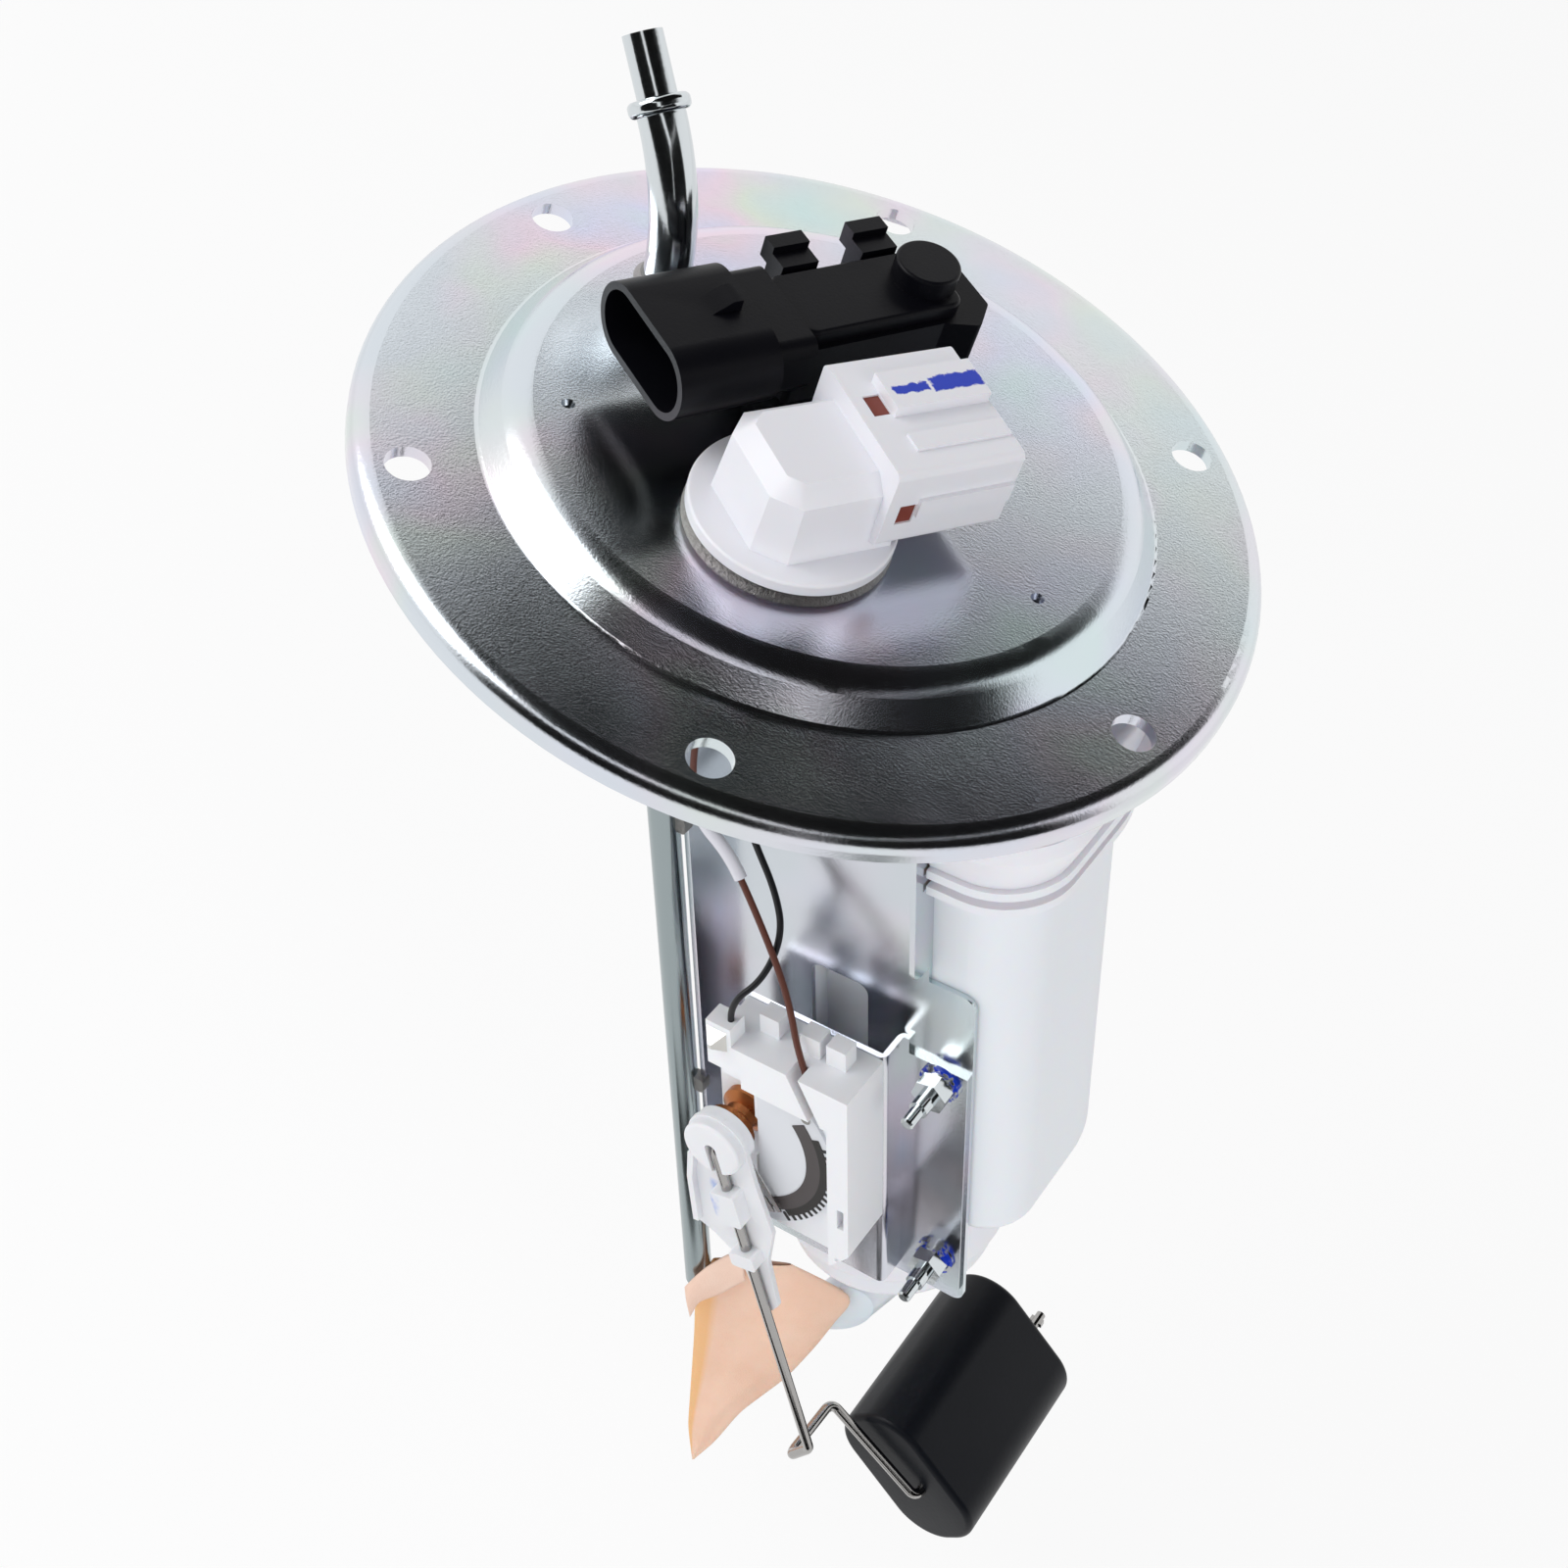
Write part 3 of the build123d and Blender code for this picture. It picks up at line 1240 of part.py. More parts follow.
with BuildPart() as black_wire:
    with BuildLine() as black_line:
        FilletPolyline(*black_route, radius=bend_radii(black_route))
    with BuildSketch(Plane(origin=black_line.line @ 0, z_dir=black_line.line % 0)):
        Circle(WIRE_R)
    sweep()
save(black_wire, "black_wire")

with BuildPart() as red_pump_wire:
    with BuildLine() as red_line:
        FilletPolyline(*red_pump_route, radius=bend_radii(red_pump_route))
    with BuildSketch(Plane(origin=red_line.line @ 0, z_dir=red_line.line % 0)):
        Circle(PUMP_WIRE_R)
    sweep()
save(red_pump_wire, "pump_wire_red")

with BuildPart() as black_pump_wire:
    with BuildLine() as dark_line:
        FilletPolyline(*black_pump_route, radius=bend_radii(black_pump_route))
    with BuildSketch(Plane(origin=dark_line.line @ 0, z_dir=dark_line.line % 0)):
        Circle(PUMP_WIRE_R)
    sweep()
save(black_pump_wire, "pump_wire_black")

for route in (brown_route, black_route, red_pump_route, black_pump_route):
    print("bend radii", [round(radius, 1) for radius in bend_radii(route)])

# Clear sleeve drawn over the brown wire where it passes the flange's rim
with BuildPart() as sleeve:
    with BuildLine() as sleeve_line:
        add(brown_line.line.edges()[8:12])
    with BuildSketch(Plane(origin=sleeve_line.line @ 0, z_dir=sleeve_line.line % 0)):
        Circle(WIRE_R + 0.65)
        Circle(WIRE_R, mode=Mode.SUBTRACT)
    sweep()
save(sleeve, "wire_sleeve")
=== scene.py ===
import bpy
import numpy as np
from mathutils import Matrix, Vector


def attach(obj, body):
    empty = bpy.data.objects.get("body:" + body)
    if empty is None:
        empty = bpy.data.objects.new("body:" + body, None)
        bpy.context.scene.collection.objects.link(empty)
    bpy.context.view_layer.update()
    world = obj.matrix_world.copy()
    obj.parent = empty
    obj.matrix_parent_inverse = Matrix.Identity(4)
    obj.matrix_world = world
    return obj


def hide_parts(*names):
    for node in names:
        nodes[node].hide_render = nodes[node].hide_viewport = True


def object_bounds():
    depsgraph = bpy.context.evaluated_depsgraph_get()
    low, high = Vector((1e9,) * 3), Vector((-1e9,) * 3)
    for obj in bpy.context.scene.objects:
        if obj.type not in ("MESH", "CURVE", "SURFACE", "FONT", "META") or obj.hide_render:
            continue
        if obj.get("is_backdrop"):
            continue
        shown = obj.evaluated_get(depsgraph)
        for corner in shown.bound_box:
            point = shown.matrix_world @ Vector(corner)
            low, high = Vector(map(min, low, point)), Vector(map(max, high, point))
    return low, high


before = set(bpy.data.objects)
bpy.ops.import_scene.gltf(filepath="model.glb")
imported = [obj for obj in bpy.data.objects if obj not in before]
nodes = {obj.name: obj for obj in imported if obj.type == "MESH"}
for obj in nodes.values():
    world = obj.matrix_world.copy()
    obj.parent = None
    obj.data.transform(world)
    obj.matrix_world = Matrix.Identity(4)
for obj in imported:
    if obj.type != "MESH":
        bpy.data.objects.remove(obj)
cad_low, cad_high = (np.array(corner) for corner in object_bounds())

# Camera
# A mid telephoto lens above the right front of the flange, level enough that the hanger
# stands upright in the picture while the flange's normal leans away to the left.
EYE = (0.11383, -0.29627, 0.28392)
EYE_RIGHT = (0.79627, 0.55337, 0.24441)
EYE_UP = (-0.56374, 0.53224, 0.63160)
EYE_BACK = (0.21942, -0.64071, 0.73576)

lens = bpy.data.cameras.new("studio_camera")
lens.sensor_width = 36.0
lens.lens = 51.17
lens.shift_x = -0.0112
lens.shift_y = -0.0583
lens.clip_start = 0.01
lens.clip_end = 20.0
camera = bpy.data.objects.new("studio_camera", lens)
turn = Matrix((EYE_RIGHT, EYE_UP, EYE_BACK)).transposed().to_4x4()
camera.matrix_world = Matrix.Translation(EYE) @ turn
bpy.context.scene.collection.objects.link(camera)
bpy.context.scene.camera = camera
bpy.context.scene.view_settings.view_transform = "Standard"


# Mounting flange
# Domed steel pressing with a turned-down rim and six bolt holes, zinc plated and clear
# passivated: a half-bright skin with fine orange peel and faint rainbow clouds.
LEAN = np.radians(18.3)
METRE = 1000.0
EASED_FROM = np.radians(38.0)
FLANGE_ZINC = (0.68, 0.73, 0.78)
HANGER_ZINC = (0.62, 0.66, 0.70)
RAINBOW = [
    (0.30, (0.60, 0.80, 0.78)),
    (0.42, (0.74, 0.80, 0.70)),
    (0.50, (0.86, 0.70, 0.80)),
    (0.60, (0.72, 0.72, 0.90)),
    (0.74, (0.62, 0.84, 0.78)),
]
RAINBOW_FADE = (-60.0, 70.0)


class Field:
    """A number that varies over a surface; sums and products on it add Math nodes."""

    def __init__(self, finish, socket):
        self.finish = finish
        self.socket = socket

    def math(self, operation, *others, clamp=False):
        values = dict(enumerate((self, *others)))
        made = self.finish.node("ShaderNodeMath", {"operation": operation, "use_clamp": clamp}, values)
        return self.finish.field(made)

    def __add__(self, other):
        return self.math("ADD", other)

    def __sub__(self, other):
        return self.math("SUBTRACT", other)

    def __mul__(self, other):
        return self.math("MULTIPLY", other)

    def __radd__(self, other):
        return self.math("ADD", other)

    def __rmul__(self, other):
        return self.math("MULTIPLY", other)

    def __rsub__(self, other):
        made = self.finish.node("ShaderNodeMath", {"operation": "SUBTRACT"}, {0: other, 1: self})
        return self.finish.field(made)

    def over(self, low, high):
        """0 below low, 1 above high and straight between them."""
        return self.math("SUBTRACT", low).math("DIVIDE", high - low, clamp=True)

    def between(self, low, high, soft):
        """1 from low to high and 0 outside, with flanks of the given width."""
        return self.over(low - soft, low) * (1.0 - self.over(high, high + soft))


class Finish:
    """A material whose varying parts are written as expressions on Fields."""

    def __init__(self, name, colour, roughness, metallic=0.0, **constants):
        self.material = bpy.data.materials.new(name)
        self.material.use_nodes = True
        self.tree = self.material.node_tree
        self.shader = self.tree.nodes["Principled BSDF"]
        self.set("Base Color", colour)
        self.set("Roughness", roughness)
        self.set("Metallic", metallic)
        for socket, value in constants.items():
            self.set(socket.replace("_", " ").title().replace("Ior", "IOR"), value)

    def set(self, socket, value):
        """Puts a number, a colour or a Field into one of the shader's sockets."""
        self.fill(self.shader.inputs[socket], value)

    def fill(self, socket, value):
        if isinstance(value, Field):
            self.tree.links.new(value.socket, socket)
        elif isinstance(value, (tuple, list)) and socket.type == "RGBA":
            socket.default_value = (*value[:3], 1.0)
        else:
            socket.default_value = value

    def node(self, kind, settings=None, values=None):
        """One node: its settings first, then the values or links of its sockets."""
        made = self.tree.nodes.new(kind)
        for setting, value in (settings or {}).items():
            if setting == "stops":
                ramp = made.color_ramp
                while len(ramp.elements) < len(value):
                    ramp.elements.new(0.5)
                for element, (place, colour) in zip(ramp.elements, value):
                    element.position = place
                    element.color = (*colour, 1.0)
            else:
                setattr(made, setting, value)
        for socket, value in (values or {}).items():
            self.fill(made.inputs[socket], value)
        return made

    def field(self, made, socket=0):
        return Field(self, made.outputs[socket])

    def place(self):
        """The point's own coordinates, in metres."""
        return self.field(self.node("ShaderNodeTexCoord"), "Object")

    def millimetres(self):
        """The point's three coordinates as separate numbers in millimetres."""
        split = self.node("ShaderNodeSeparateXYZ", values={0: self.place()})
        return tuple(self.field(split, axis) * METRE for axis in ("X", "Y", "Z"))

    def turned(self, centre, degrees):
        """Millimetres along, left of and above a piece that points that way from its centre."""
        x, y, z = self.millimetres()
        ahead, aside = np.cos(np.radians(degrees)), np.sin(np.radians(degrees))
        x = x - centre[0]
        y = y - centre[1]
        return x * ahead + y * aside, y * ahead - x * aside, z

    def leaning(self):
        """Millimetres right and up in the hanger's own leaning directions."""
        x, _, z = self.millimetres()
        across, rise = np.cos(LEAN), np.sin(LEAN)
        return x * across + z * rise, z * across - x * rise

    def noise(self, lumps, detail, roughness):
        """Clouds from 0 to 1: lumps to the metre, their levels of detail and how strong it is."""
        values = {"Vector": self.place(), "Scale": lumps, "Detail": detail, "Roughness": roughness}
        return self.field(self.node("ShaderNodeTexNoise", values=values), "Fac")

    def mix(self, mask, first, second):
        """first where the mask is 0 and second where it is 1."""
        made = self.node("ShaderNodeMix", {"data_type": "RGBA"}, {0: mask, 6: first, 7: second})
        return self.field(made, 2)

    def ramp(self, mask, stops):
        return self.field(self.node("ShaderNodeValToRGB", {"stops": stops}, {"Fac": mask}), "Color")

    def bump(self, height, strength, distance):
        """Raises the surface in its shading by the height times the distance in metres."""
        values = {"Height": height, "Strength": strength, "Distance": distance}
        self.set("Normal", self.field(self.node("ShaderNodeBump", values=values), "Normal"))


def dress(finish, *names):
    """Gives CAD nodes a finish in place of the plain one they were packed with."""
    for name in names:
        mesh = nodes[name].data
        mesh.materials.clear()
        mesh.materials.append(finish.material)


def soften(width, *names):
    """Rounds the sharp edges of CAD nodes a little, as a mould or a die leaves them."""
    for name in names:
        joined = nodes[name].modifiers.new("joined_faces", "WELD")
        joined.merge_threshold = 1e-6
        eased = nodes[name].modifiers.new("eased_edges", "BEVEL")
        eased.width = width
        eased.segments = 2
        eased.limit_method = "ANGLE"
        eased.angle_limit = EASED_FROM
        shading = nodes[name].modifiers.new("even_shading", "WEIGHTED_NORMAL")
        shading.keep_sharp = False


def plated(name, base, rough, rainbow, grain):
    """Zinc plate: grey metal, pink and green clouds, roughness that wanders and fine peel."""
    finish = Finish(name, base, rough, 1.0)
    x = finish.millimetres()[0]
    clouds = finish.noise(16.0, 3.0, 0.55).over(0.40, 0.60)
    tint = finish.ramp(finish.noise(24.0, 2.0, 0.5), RAINBOW)
    left = 1.0 - x.over(*RAINBOW_FADE) * 0.6
    finish.set("Base Color", finish.mix(clouds * left * rainbow, base, tint))
    finish.set("Roughness", finish.noise(30.0, 4.0, 0.6).over(0.25, 0.8) * 0.10 + (rough - 0.05))
    finish.bump(finish.noise(1900.0, 3.0, 0.75), grain, 0.0002)
    return finish


flange_plate = plated("zinc_flange", FLANGE_ZINC, rough=0.165, rainbow=0.9, grain=0.18)
hanger_plate = plated("zinc_hanger", HANGER_ZINC, rough=0.19, rainbow=1.0, grain=0.10)
dress(flange_plate, "mounting_flange")

# Weld beads and collar
# Rough grey weld metal at the foot of the collar, round the outlet pipe and along the tube.
# The collar that it holds is turned steel, duller than the flange.
bead_metal = Finish("weld_metal", (0.34, 0.33, 0.32), 0.36, 1.0)
bead_metal.bump(bead_metal.noise(900.0, 4.0, 0.7), 1.0, 0.0008)
dress(bead_metal, "collar_weld", "pipe_weld", "tube_welds")

turned_steel = Finish("turned_steel", (0.48, 0.48, 0.49), 0.3, 1.0)
turned_steel.bump(turned_steel.noise(500.0, 3.0, 0.6), 0.3, 0.0003)
dress(turned_steel, "connector_collar")

# Electrical connector
# White nylon moulding clipped into the collar, a brown lock inside and tinned pins. Two strokes
# of blue marking paint run along the hood over its latch.
SOCKET_TURN = 61.5
COLLAR_CENTRE = (7.6, -26.6)
HOOD_TOP = (35.0, 35.2)
STROKE_BACK = ((15.4, 22.4), (2.2, 4.0))
STROKE_FRONT = ((23.4, 33.4), (1.6, 4.8))
STROKE_FLANK = 0.3
STROKE_WANDER = 1.6
CONNECTOR_WHITE = (0.84, 0.84, 0.89)
PAINT_BLUE = (0.012, 0.045, 0.52)

nylon = Finish("white_nylon", CONNECTOR_WHITE, 0.36, subsurface_weight=0.10, subsurface_scale=0.003)
along, left, above = nylon.turned(COLLAR_CENTRE, SOCKET_TURN)
ragged = (nylon.noise(700.0, 2.0, 0.6) - 0.5) * STROKE_WANDER


def stroke(run, width):
    """Brush stroke from and to the given millimetres along and across, its edges ragged."""
    ahead = (along + ragged).between(*run, STROKE_FLANK)
    return ahead * (left + ragged).between(*width, STROKE_FLANK)


strokes = (stroke(*STROKE_BACK) + stroke(*STROKE_FRONT)) * above.over(*HOOD_TOP)
nylon.set("Base Color", nylon.mix(strokes, CONNECTOR_WHITE, PAINT_BLUE))
nylon.bump(nylon.noise(600.0, 2.0, 0.5), 0.05, 0.0003)
dress(nylon, "connector_body")
soften(0.0004, "connector_body")

lock_red = Finish("brown_lock", (0.20, 0.035, 0.02), 0.4)
dress(lock_red, "connector_lock")

tinned = Finish("tinned_brass", (0.72, 0.71, 0.68), 0.22, 1.0)
dress(tinned, "connector_terminals", "connector_wire_tabs", "sensor_terminals")

# Tank pressure sensor
# Glass-filled black nylon with a fine matt skin, pushed into the flange on a rubber grommet.
# Its lid is welded on.
black_nylon = Finish("black_nylon", (0.003, 0.003, 0.005), 0.42, specular_ior_level=0.17)
black_nylon.set("Roughness", black_nylon.noise(60.0, 3.0, 0.6) * 0.16 + 0.30)
black_nylon.bump(black_nylon.noise(1800.0, 2.0, 0.6), 0.10, 0.0002)
dress(black_nylon, "sensor_body", "sensor_lid")
soften(0.0005, "sensor_body", "sensor_lid")

dull_rubber = Finish("black_rubber", (0.015, 0.015, 0.016), 0.6, specular_ior_level=0.3)
dress(dull_rubber, "sensor_grommet", "fuel_hose")

# Outlet pipe and side tube
# Drawn steel tube, bent and welded on, with a bright plated skin that mirrors the studio in
# long streaks. Clamps, studs and the pump's case are as bright, the side tube is darker.
drawn = Finish("bright_tube", (0.66, 0.70, 0.72), 0.16, 1.0)
drawn.set("Roughness", drawn.noise(45.0, 3.0, 0.6) * 0.16 + 0.06)
drawn.bump(drawn.noise(800.0, 3.0, 0.6), 0.06, 0.0002)
dress(drawn, "outlet_pipe", "hose_clamps", "sender_studs", "pump_case")

side_steel = Finish("plated_tube", (0.33, 0.38, 0.39), 0.2, 1.0)
side_steel.set("Roughness", side_steel.noise(45.0, 3.0, 0.6) * 0.16 + 0.10)
dress(side_steel, "side_tube")

# Hanger and sender brackets
# Zinc plated sheet steel, cloudy with pink and green. The hanger is spot welded under the
# flange, and the sender's bracket is bolted to the hanger.
dress(hanger_plate, "hanger_bracket", "sender_bracket")
soften(0.00025, "hanger_bracket")

# Nuts and washers
# Plated fasteners that hold the sender bracket on its two studs, daubed with blue marking
# paint where they meet the bracket.
FASTENER_ZINC = (0.66, 0.68, 0.70)

marked = Finish("marked_fasteners", FASTENER_ZINC, 0.2, 1.0)
daub = marked.noise(420.0, 2.0, 0.6).over(0.47, 0.53)
marked.set("Base Color", marked.mix(daub, FASTENER_ZINC, PAINT_BLUE))
marked.set("Metallic", 1.0 - daub)
dress(marked, "sender_washers", "sender_lock_washers")
dress(drawn, "sender_nuts")

# Level sender
# Housing and arm holder in natural acetal, snapped on the bracket, with a card of fired ceramic
# that carries a printed resistor track and its comb of contacts.
HOUSING_WHITE = (0.88, 0.89, 0.92)
HOLDER_WHITE = (0.82, 0.83, 0.86)
SMEAR_BLUE = (0.10, 0.25, 0.75)
SMEAR_UP = (-149.0, -145.0)
SMEAR_RIGHT = (8.5, 11.5)
SMEAR_COVER = 0.6

acetal = Finish("natural_acetal", HOUSING_WHITE, 0.34, subsurface_weight=0.12, subsurface_scale=0.002)
acetal.bump(acetal.noise(500.0, 2.0, 0.5), 0.05, 0.0003)
dress(acetal, "sender_housing")
soften(0.0004, "sender_housing")
dress(tinned, "sender_terminals", "wiper_contact")

holder = Finish("arm_acetal", HOLDER_WHITE, 0.34, subsurface_weight=0.12, subsurface_scale=0.002)
right, up = holder.leaning()
smear = holder.noise(300.0, 2.0, 0.5).over(0.36, 0.60) * up.between(*SMEAR_UP, 1.5)
smear = smear * right.between(*SMEAR_RIGHT, 1.2)
holder.set("Base Color", holder.mix(smear * SMEAR_COVER, HOLDER_WHITE, SMEAR_BLUE))
dress(holder, "arm_holder")
soften(0.0003, "arm_holder")

ceramic = Finish("card_ceramic", (0.74, 0.76, 0.80), 0.5)
dress(ceramic, "resistor_card")
film_grey = Finish("resistor_film", (0.07, 0.06, 0.06), 0.45)
dress(film_grey, "resistor_track")
film_black = Finish("resistor_segments", (0.02, 0.018, 0.016), 0.4)
dress(film_black, "resistor_comb")

bush_bronze = Finish("oiled_bronze", (0.42, 0.15, 0.05), 0.3, 0.85)
bush_bronze.set("Roughness", bush_bronze.noise(300.0, 3.0, 0.6) * 0.3 + 0.15)
dress(bush_bronze, "pivot_bush")

# Float rod
# Hard-drawn steel wire bent into a crank, bare and darker than the plated tubes.
wire_steel = Finish("rod_steel", (0.40, 0.39, 0.38), 0.14, 1.0)
wire_steel.set("Roughness", wire_steel.noise(200.0, 3.0, 0.6) * 0.14 + 0.06)
dress(wire_steel, "float_rod")

# Float
# Closed-cell rubber moulded to a black satin skin and pierced by the rod, which it can turn on.
# Its two end faces have a small rounded edge.
FLOAT_SIZE = (40.0, 24.5)
FLOAT_CORNER = 10.8
FLOAT_ENDS = (-40.0, 9.6)
FLOAT_MIDDLE = (46.5, -250.5)
FLOAT_TILT = np.arctan2(-0.737, 0.676)
FLOAT_AROUND = 96
ROD_PLACE = (51.0, -251.0)
BORE = 1.25
END_ROUND = 1.6
END_ROWS = 8


def leaned(right, back, up):
    """A place or direction given along the hanger, turned into the frame's directions."""
    across, rise = np.cos(LEAN), np.sin(LEAN)
    return np.array([right * across - up * rise, back, right * rise + up * across])


def grid_mesh(name, points, finish, closed):
    """Surface over a grid of points, rows by columns; closed joins the last column to the first.

    The map's first number runs along the columns and the second along the rows.
    """
    rows, columns = points.shape[:2]
    spans = columns if closed else columns - 1
    row, column = np.meshgrid(np.arange(rows - 1), np.arange(spans), indexing="ij")
    after = (column + 1) % columns
    corners = [row * columns + column, row * columns + after]
    corners += [(row + 1) * columns + after, (row + 1) * columns + column]
    quads = np.stack(corners, axis=-1).reshape(-1, 4)
    mesh = bpy.data.meshes.new(name)
    mesh.from_pydata(points.reshape(-1, 3).tolist(), [], quads.tolist())
    chart = mesh.uv_layers.new(name="chart")
    turns = np.stack([column, column + 1, column + 1, column], axis=-1) / spans
    levels = np.stack([row, row, row + 1, row + 1], axis=-1) / (rows - 1)
    chart.data.foreach_set("uv", np.stack([turns, levels], axis=-1).ravel())
    mesh.shade_smooth()
    mesh.materials.append(finish.material)
    made = bpy.data.objects.new(name, mesh)
    bpy.context.scene.collection.objects.link(made)
    return made


def float_points():
    """Rounded rectangle carried along the rod, with quarter-circle edges at both ends and a bore.

    A ring is its corner's centre plus the corner's radius, less the inset, times the ray.
    """
    half_step = np.pi / FLOAT_AROUND
    angle = np.linspace(0.0, 2.0 * np.pi, FLOAT_AROUND, endpoint=False) + half_step
    ray = np.stack([np.cos(angle), np.sin(angle)], axis=-1)
    corner = np.sign(ray) * (np.array(FLOAT_SIZE) / 2.0 - FLOAT_CORNER)
    across, rise = np.cos(FLOAT_TILT), np.sin(FLOAT_TILT)
    spin = np.array([[across, rise], [-rise, across]])

    def ring(inset):
        return np.array(FLOAT_MIDDLE) + (corner + (FLOAT_CORNER - inset) * ray) @ spin

    bore = np.array(ROD_PLACE) + BORE * ray @ spin
    quarter = np.linspace(0.0, np.pi / 2.0, END_ROWS)
    insets = END_ROUND * (1.0 - np.sin(quarter))
    sinks = END_ROUND * (1.0 - np.cos(quarter))
    near, far = FLOAT_ENDS
    rows = [(bore, near)]
    rows += [(ring(inset), near + sink) for inset, sink in zip(insets, sinks)]
    rows += [(ring(inset), far - sink) for inset, sink in zip(insets[::-1], sinks[::-1])]
    rows += [(bore, far), (bore, near)]
    flat = np.array([points for points, _ in rows])
    backs = np.array([back for _, back in rows])[:, None]
    placed = leaned(flat[..., 0], np.broadcast_to(backs, flat.shape[:2]), flat[..., 1])
    return np.moveaxis(placed, 0, -1) / METRE


skin = Finish("float_foam", (0.004, 0.005, 0.008), 0.4, specular_ior_level=0.18)
skin.set("Roughness", skin.noise(50.0, 3.0, 0.6) * 0.14 + 0.32)
skin.bump(skin.noise(900.0, 3.0, 0.6), 0.10, 0.0003)
foam = grid_mesh("float_foam", float_points(), skin, True)
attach(foam, "float_body")
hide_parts("float")

# Filter housing
# Moulded milky nylon that lets a little light through, closed by a cap and snapped into a
# lower holder of the same stuff. The nipple, neck and inlet cover match it.
milky = Finish("milky_nylon", (0.86, 0.86, 0.91), 0.34, subsurface_weight=0.25, subsurface_scale=0.006)
milky.bump(milky.noise(60.0, 2.0, 0.5), 0.08, 0.001)
dress(milky, "pump_housing", "housing_cap", "lower_holder")
dress(milky, "strainer_neck", "outlet_nipple", "pump_inlet_cover")

# Sealed pump parts
# Inside the housing: pleated paper, sintered magnets, copper windings and tinned plates.
# Nothing of them shows from outside.
paper = Finish("filter_paper", (0.78, 0.72, 0.58), 0.8)
dress(paper, "filter_element")
sinter = Finish("sintered_magnet", (0.06, 0.06, 0.065), 0.5)
dress(sinter, "pump_magnets")
copper = Finish("enamelled_copper", (0.45, 0.16, 0.06), 0.35, 0.8)
dress(copper, "pump_armature", "pump_brushes")
dress(black_nylon, "pump_impeller", "pump_outlet_cover")
dress(tinned, "pump_upper_plate", "pressure_regulator")

# Strainer sock
# Peach needled felt, folded and heat-sealed into a pointed bag that hangs from the pump inlet.
# The sealed hem on its left edge is darker and stiffer than the cloth.
STRAINER_START = leaned(-8.0, -50.0, -212.0)
STRAINER_SIDE = leaned(0.8844, 0.4668, 0.0)
STRAINER_NORMAL = leaned(0.4564, -0.8648, 0.2094)
STRAINER_RISE = np.cross(STRAINER_NORMAL, STRAINER_SIDE)
SOCK_LEFT = [
    (5.5, 13.5), (4, 11.2), (1, 1), (0.6, -10), (-0.7, -28.5), (-1.5, -39.9), (-0.7, -50.4),
]
SOCK_RIGHT = [
    (24, 13.5), (34, 8), (39.4, 4.4), (35, -2), (30.5, -10.2), (23.3, -21.2),
    (11.7, -33.6), (5.2, -44.5), (0, -50.7),
]
SOCK_HALF = 2.3
SOCK_DEPTH = -2.5
SOCK_FOLD = 0.35
SOCK_ROWS = 60
SOCK_COLUMNS = 72
BEND_EASING = 6
HEM = (0.10, 0.13)
HEM_ORANGE = (0.86, 0.50, 0.22)
PEACH_DARK = (0.86, 0.54, 0.39)
PEACH_LIGHT = (0.94, 0.69, 0.55)


def edge_line(corners, count):
    """Points at even steps along a line through the corners, its bends eased."""
    corners = np.array(corners, float)
    steps = np.concatenate([[0.0], np.cumsum(np.linalg.norm(np.diff(corners, axis=0), axis=1))])
    places = np.linspace(0.0, steps[-1], count)
    line = np.stack([np.interp(places, steps, corners[:, axis]) for axis in (0, 1)], axis=-1)
    for _ in range(BEND_EASING):
        line[1:-1] = (line[:-2] + 2.0 * line[1:-1] + line[2:]) / 4.0
    return line


def on_strainer(flat, depth):
    """Start plus flat's numbers along the side and the rise, plus depth along the normal."""
    spread = flat[..., :1] * STRAINER_SIDE + flat[..., 1:] * STRAINER_RISE
    return (STRAINER_START + (spread + depth[..., None] * STRAINER_NORMAL)) / METRE


def sock_points():
    """Flat bag: each row spans its two edges, lens-shaped, with shallow folds down the cloth.

    The half thickness goes with the sine across the row to the power 0.7, and with the sine
    down the bag to the power 0.35.
    """
    turn = np.linspace(0.0, 2.0 * np.pi, SOCK_COLUMNS, endpoint=False)[None, :]
    share = (1.0 - np.cos(turn)) / 2.0
    edge_left = edge_line(SOCK_LEFT, SOCK_ROWS)[:, None, :]
    edge_right = edge_line(SOCK_RIGHT, SOCK_ROWS)[:, None, :]
    flat = edge_left + (edge_right - edge_left) * share[..., None]
    down = np.linspace(0.0, 1.0, SOCK_ROWS)[:, None]
    ends = np.sin(np.pi * np.clip(down, 0.02, 0.98)) ** 0.35
    body = SOCK_HALF * np.sign(np.sin(turn)) * np.abs(np.sin(turn)) ** 0.7 * ends
    fold = SOCK_FOLD * np.sin(9.0 * share + 5.0 * down) * np.sin(np.pi * share) * ends
    return on_strainer(flat, SOCK_DEPTH + np.clip(body + fold, -SOCK_HALF, SOCK_HALF))


felt = Finish("peach_felt", (0.84, 0.50, 0.36), 0.9, subsurface_weight=0.2, subsurface_scale=0.004)
charted = felt.node("ShaderNodeSeparateXYZ", values={0: felt.field(felt.node("ShaderNodeUVMap"))})
from_edge = felt.field(charted).math("PINGPONG", 0.5)
hem = 1.0 - from_edge.over(*HEM)
cloth = felt.mix(felt.noise(90.0, 3.0, 0.6), PEACH_DARK, PEACH_LIGHT)
felt.set("Base Color", felt.mix(hem * 0.85, cloth, HEM_ORANGE))
felt.bump(felt.noise(2600.0, 3.0, 0.8), 0.5, 0.0003)
sock = grid_mesh("strainer_cloth", sock_points(), felt, True)
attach(sock, "module")
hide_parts("strainer_sock")

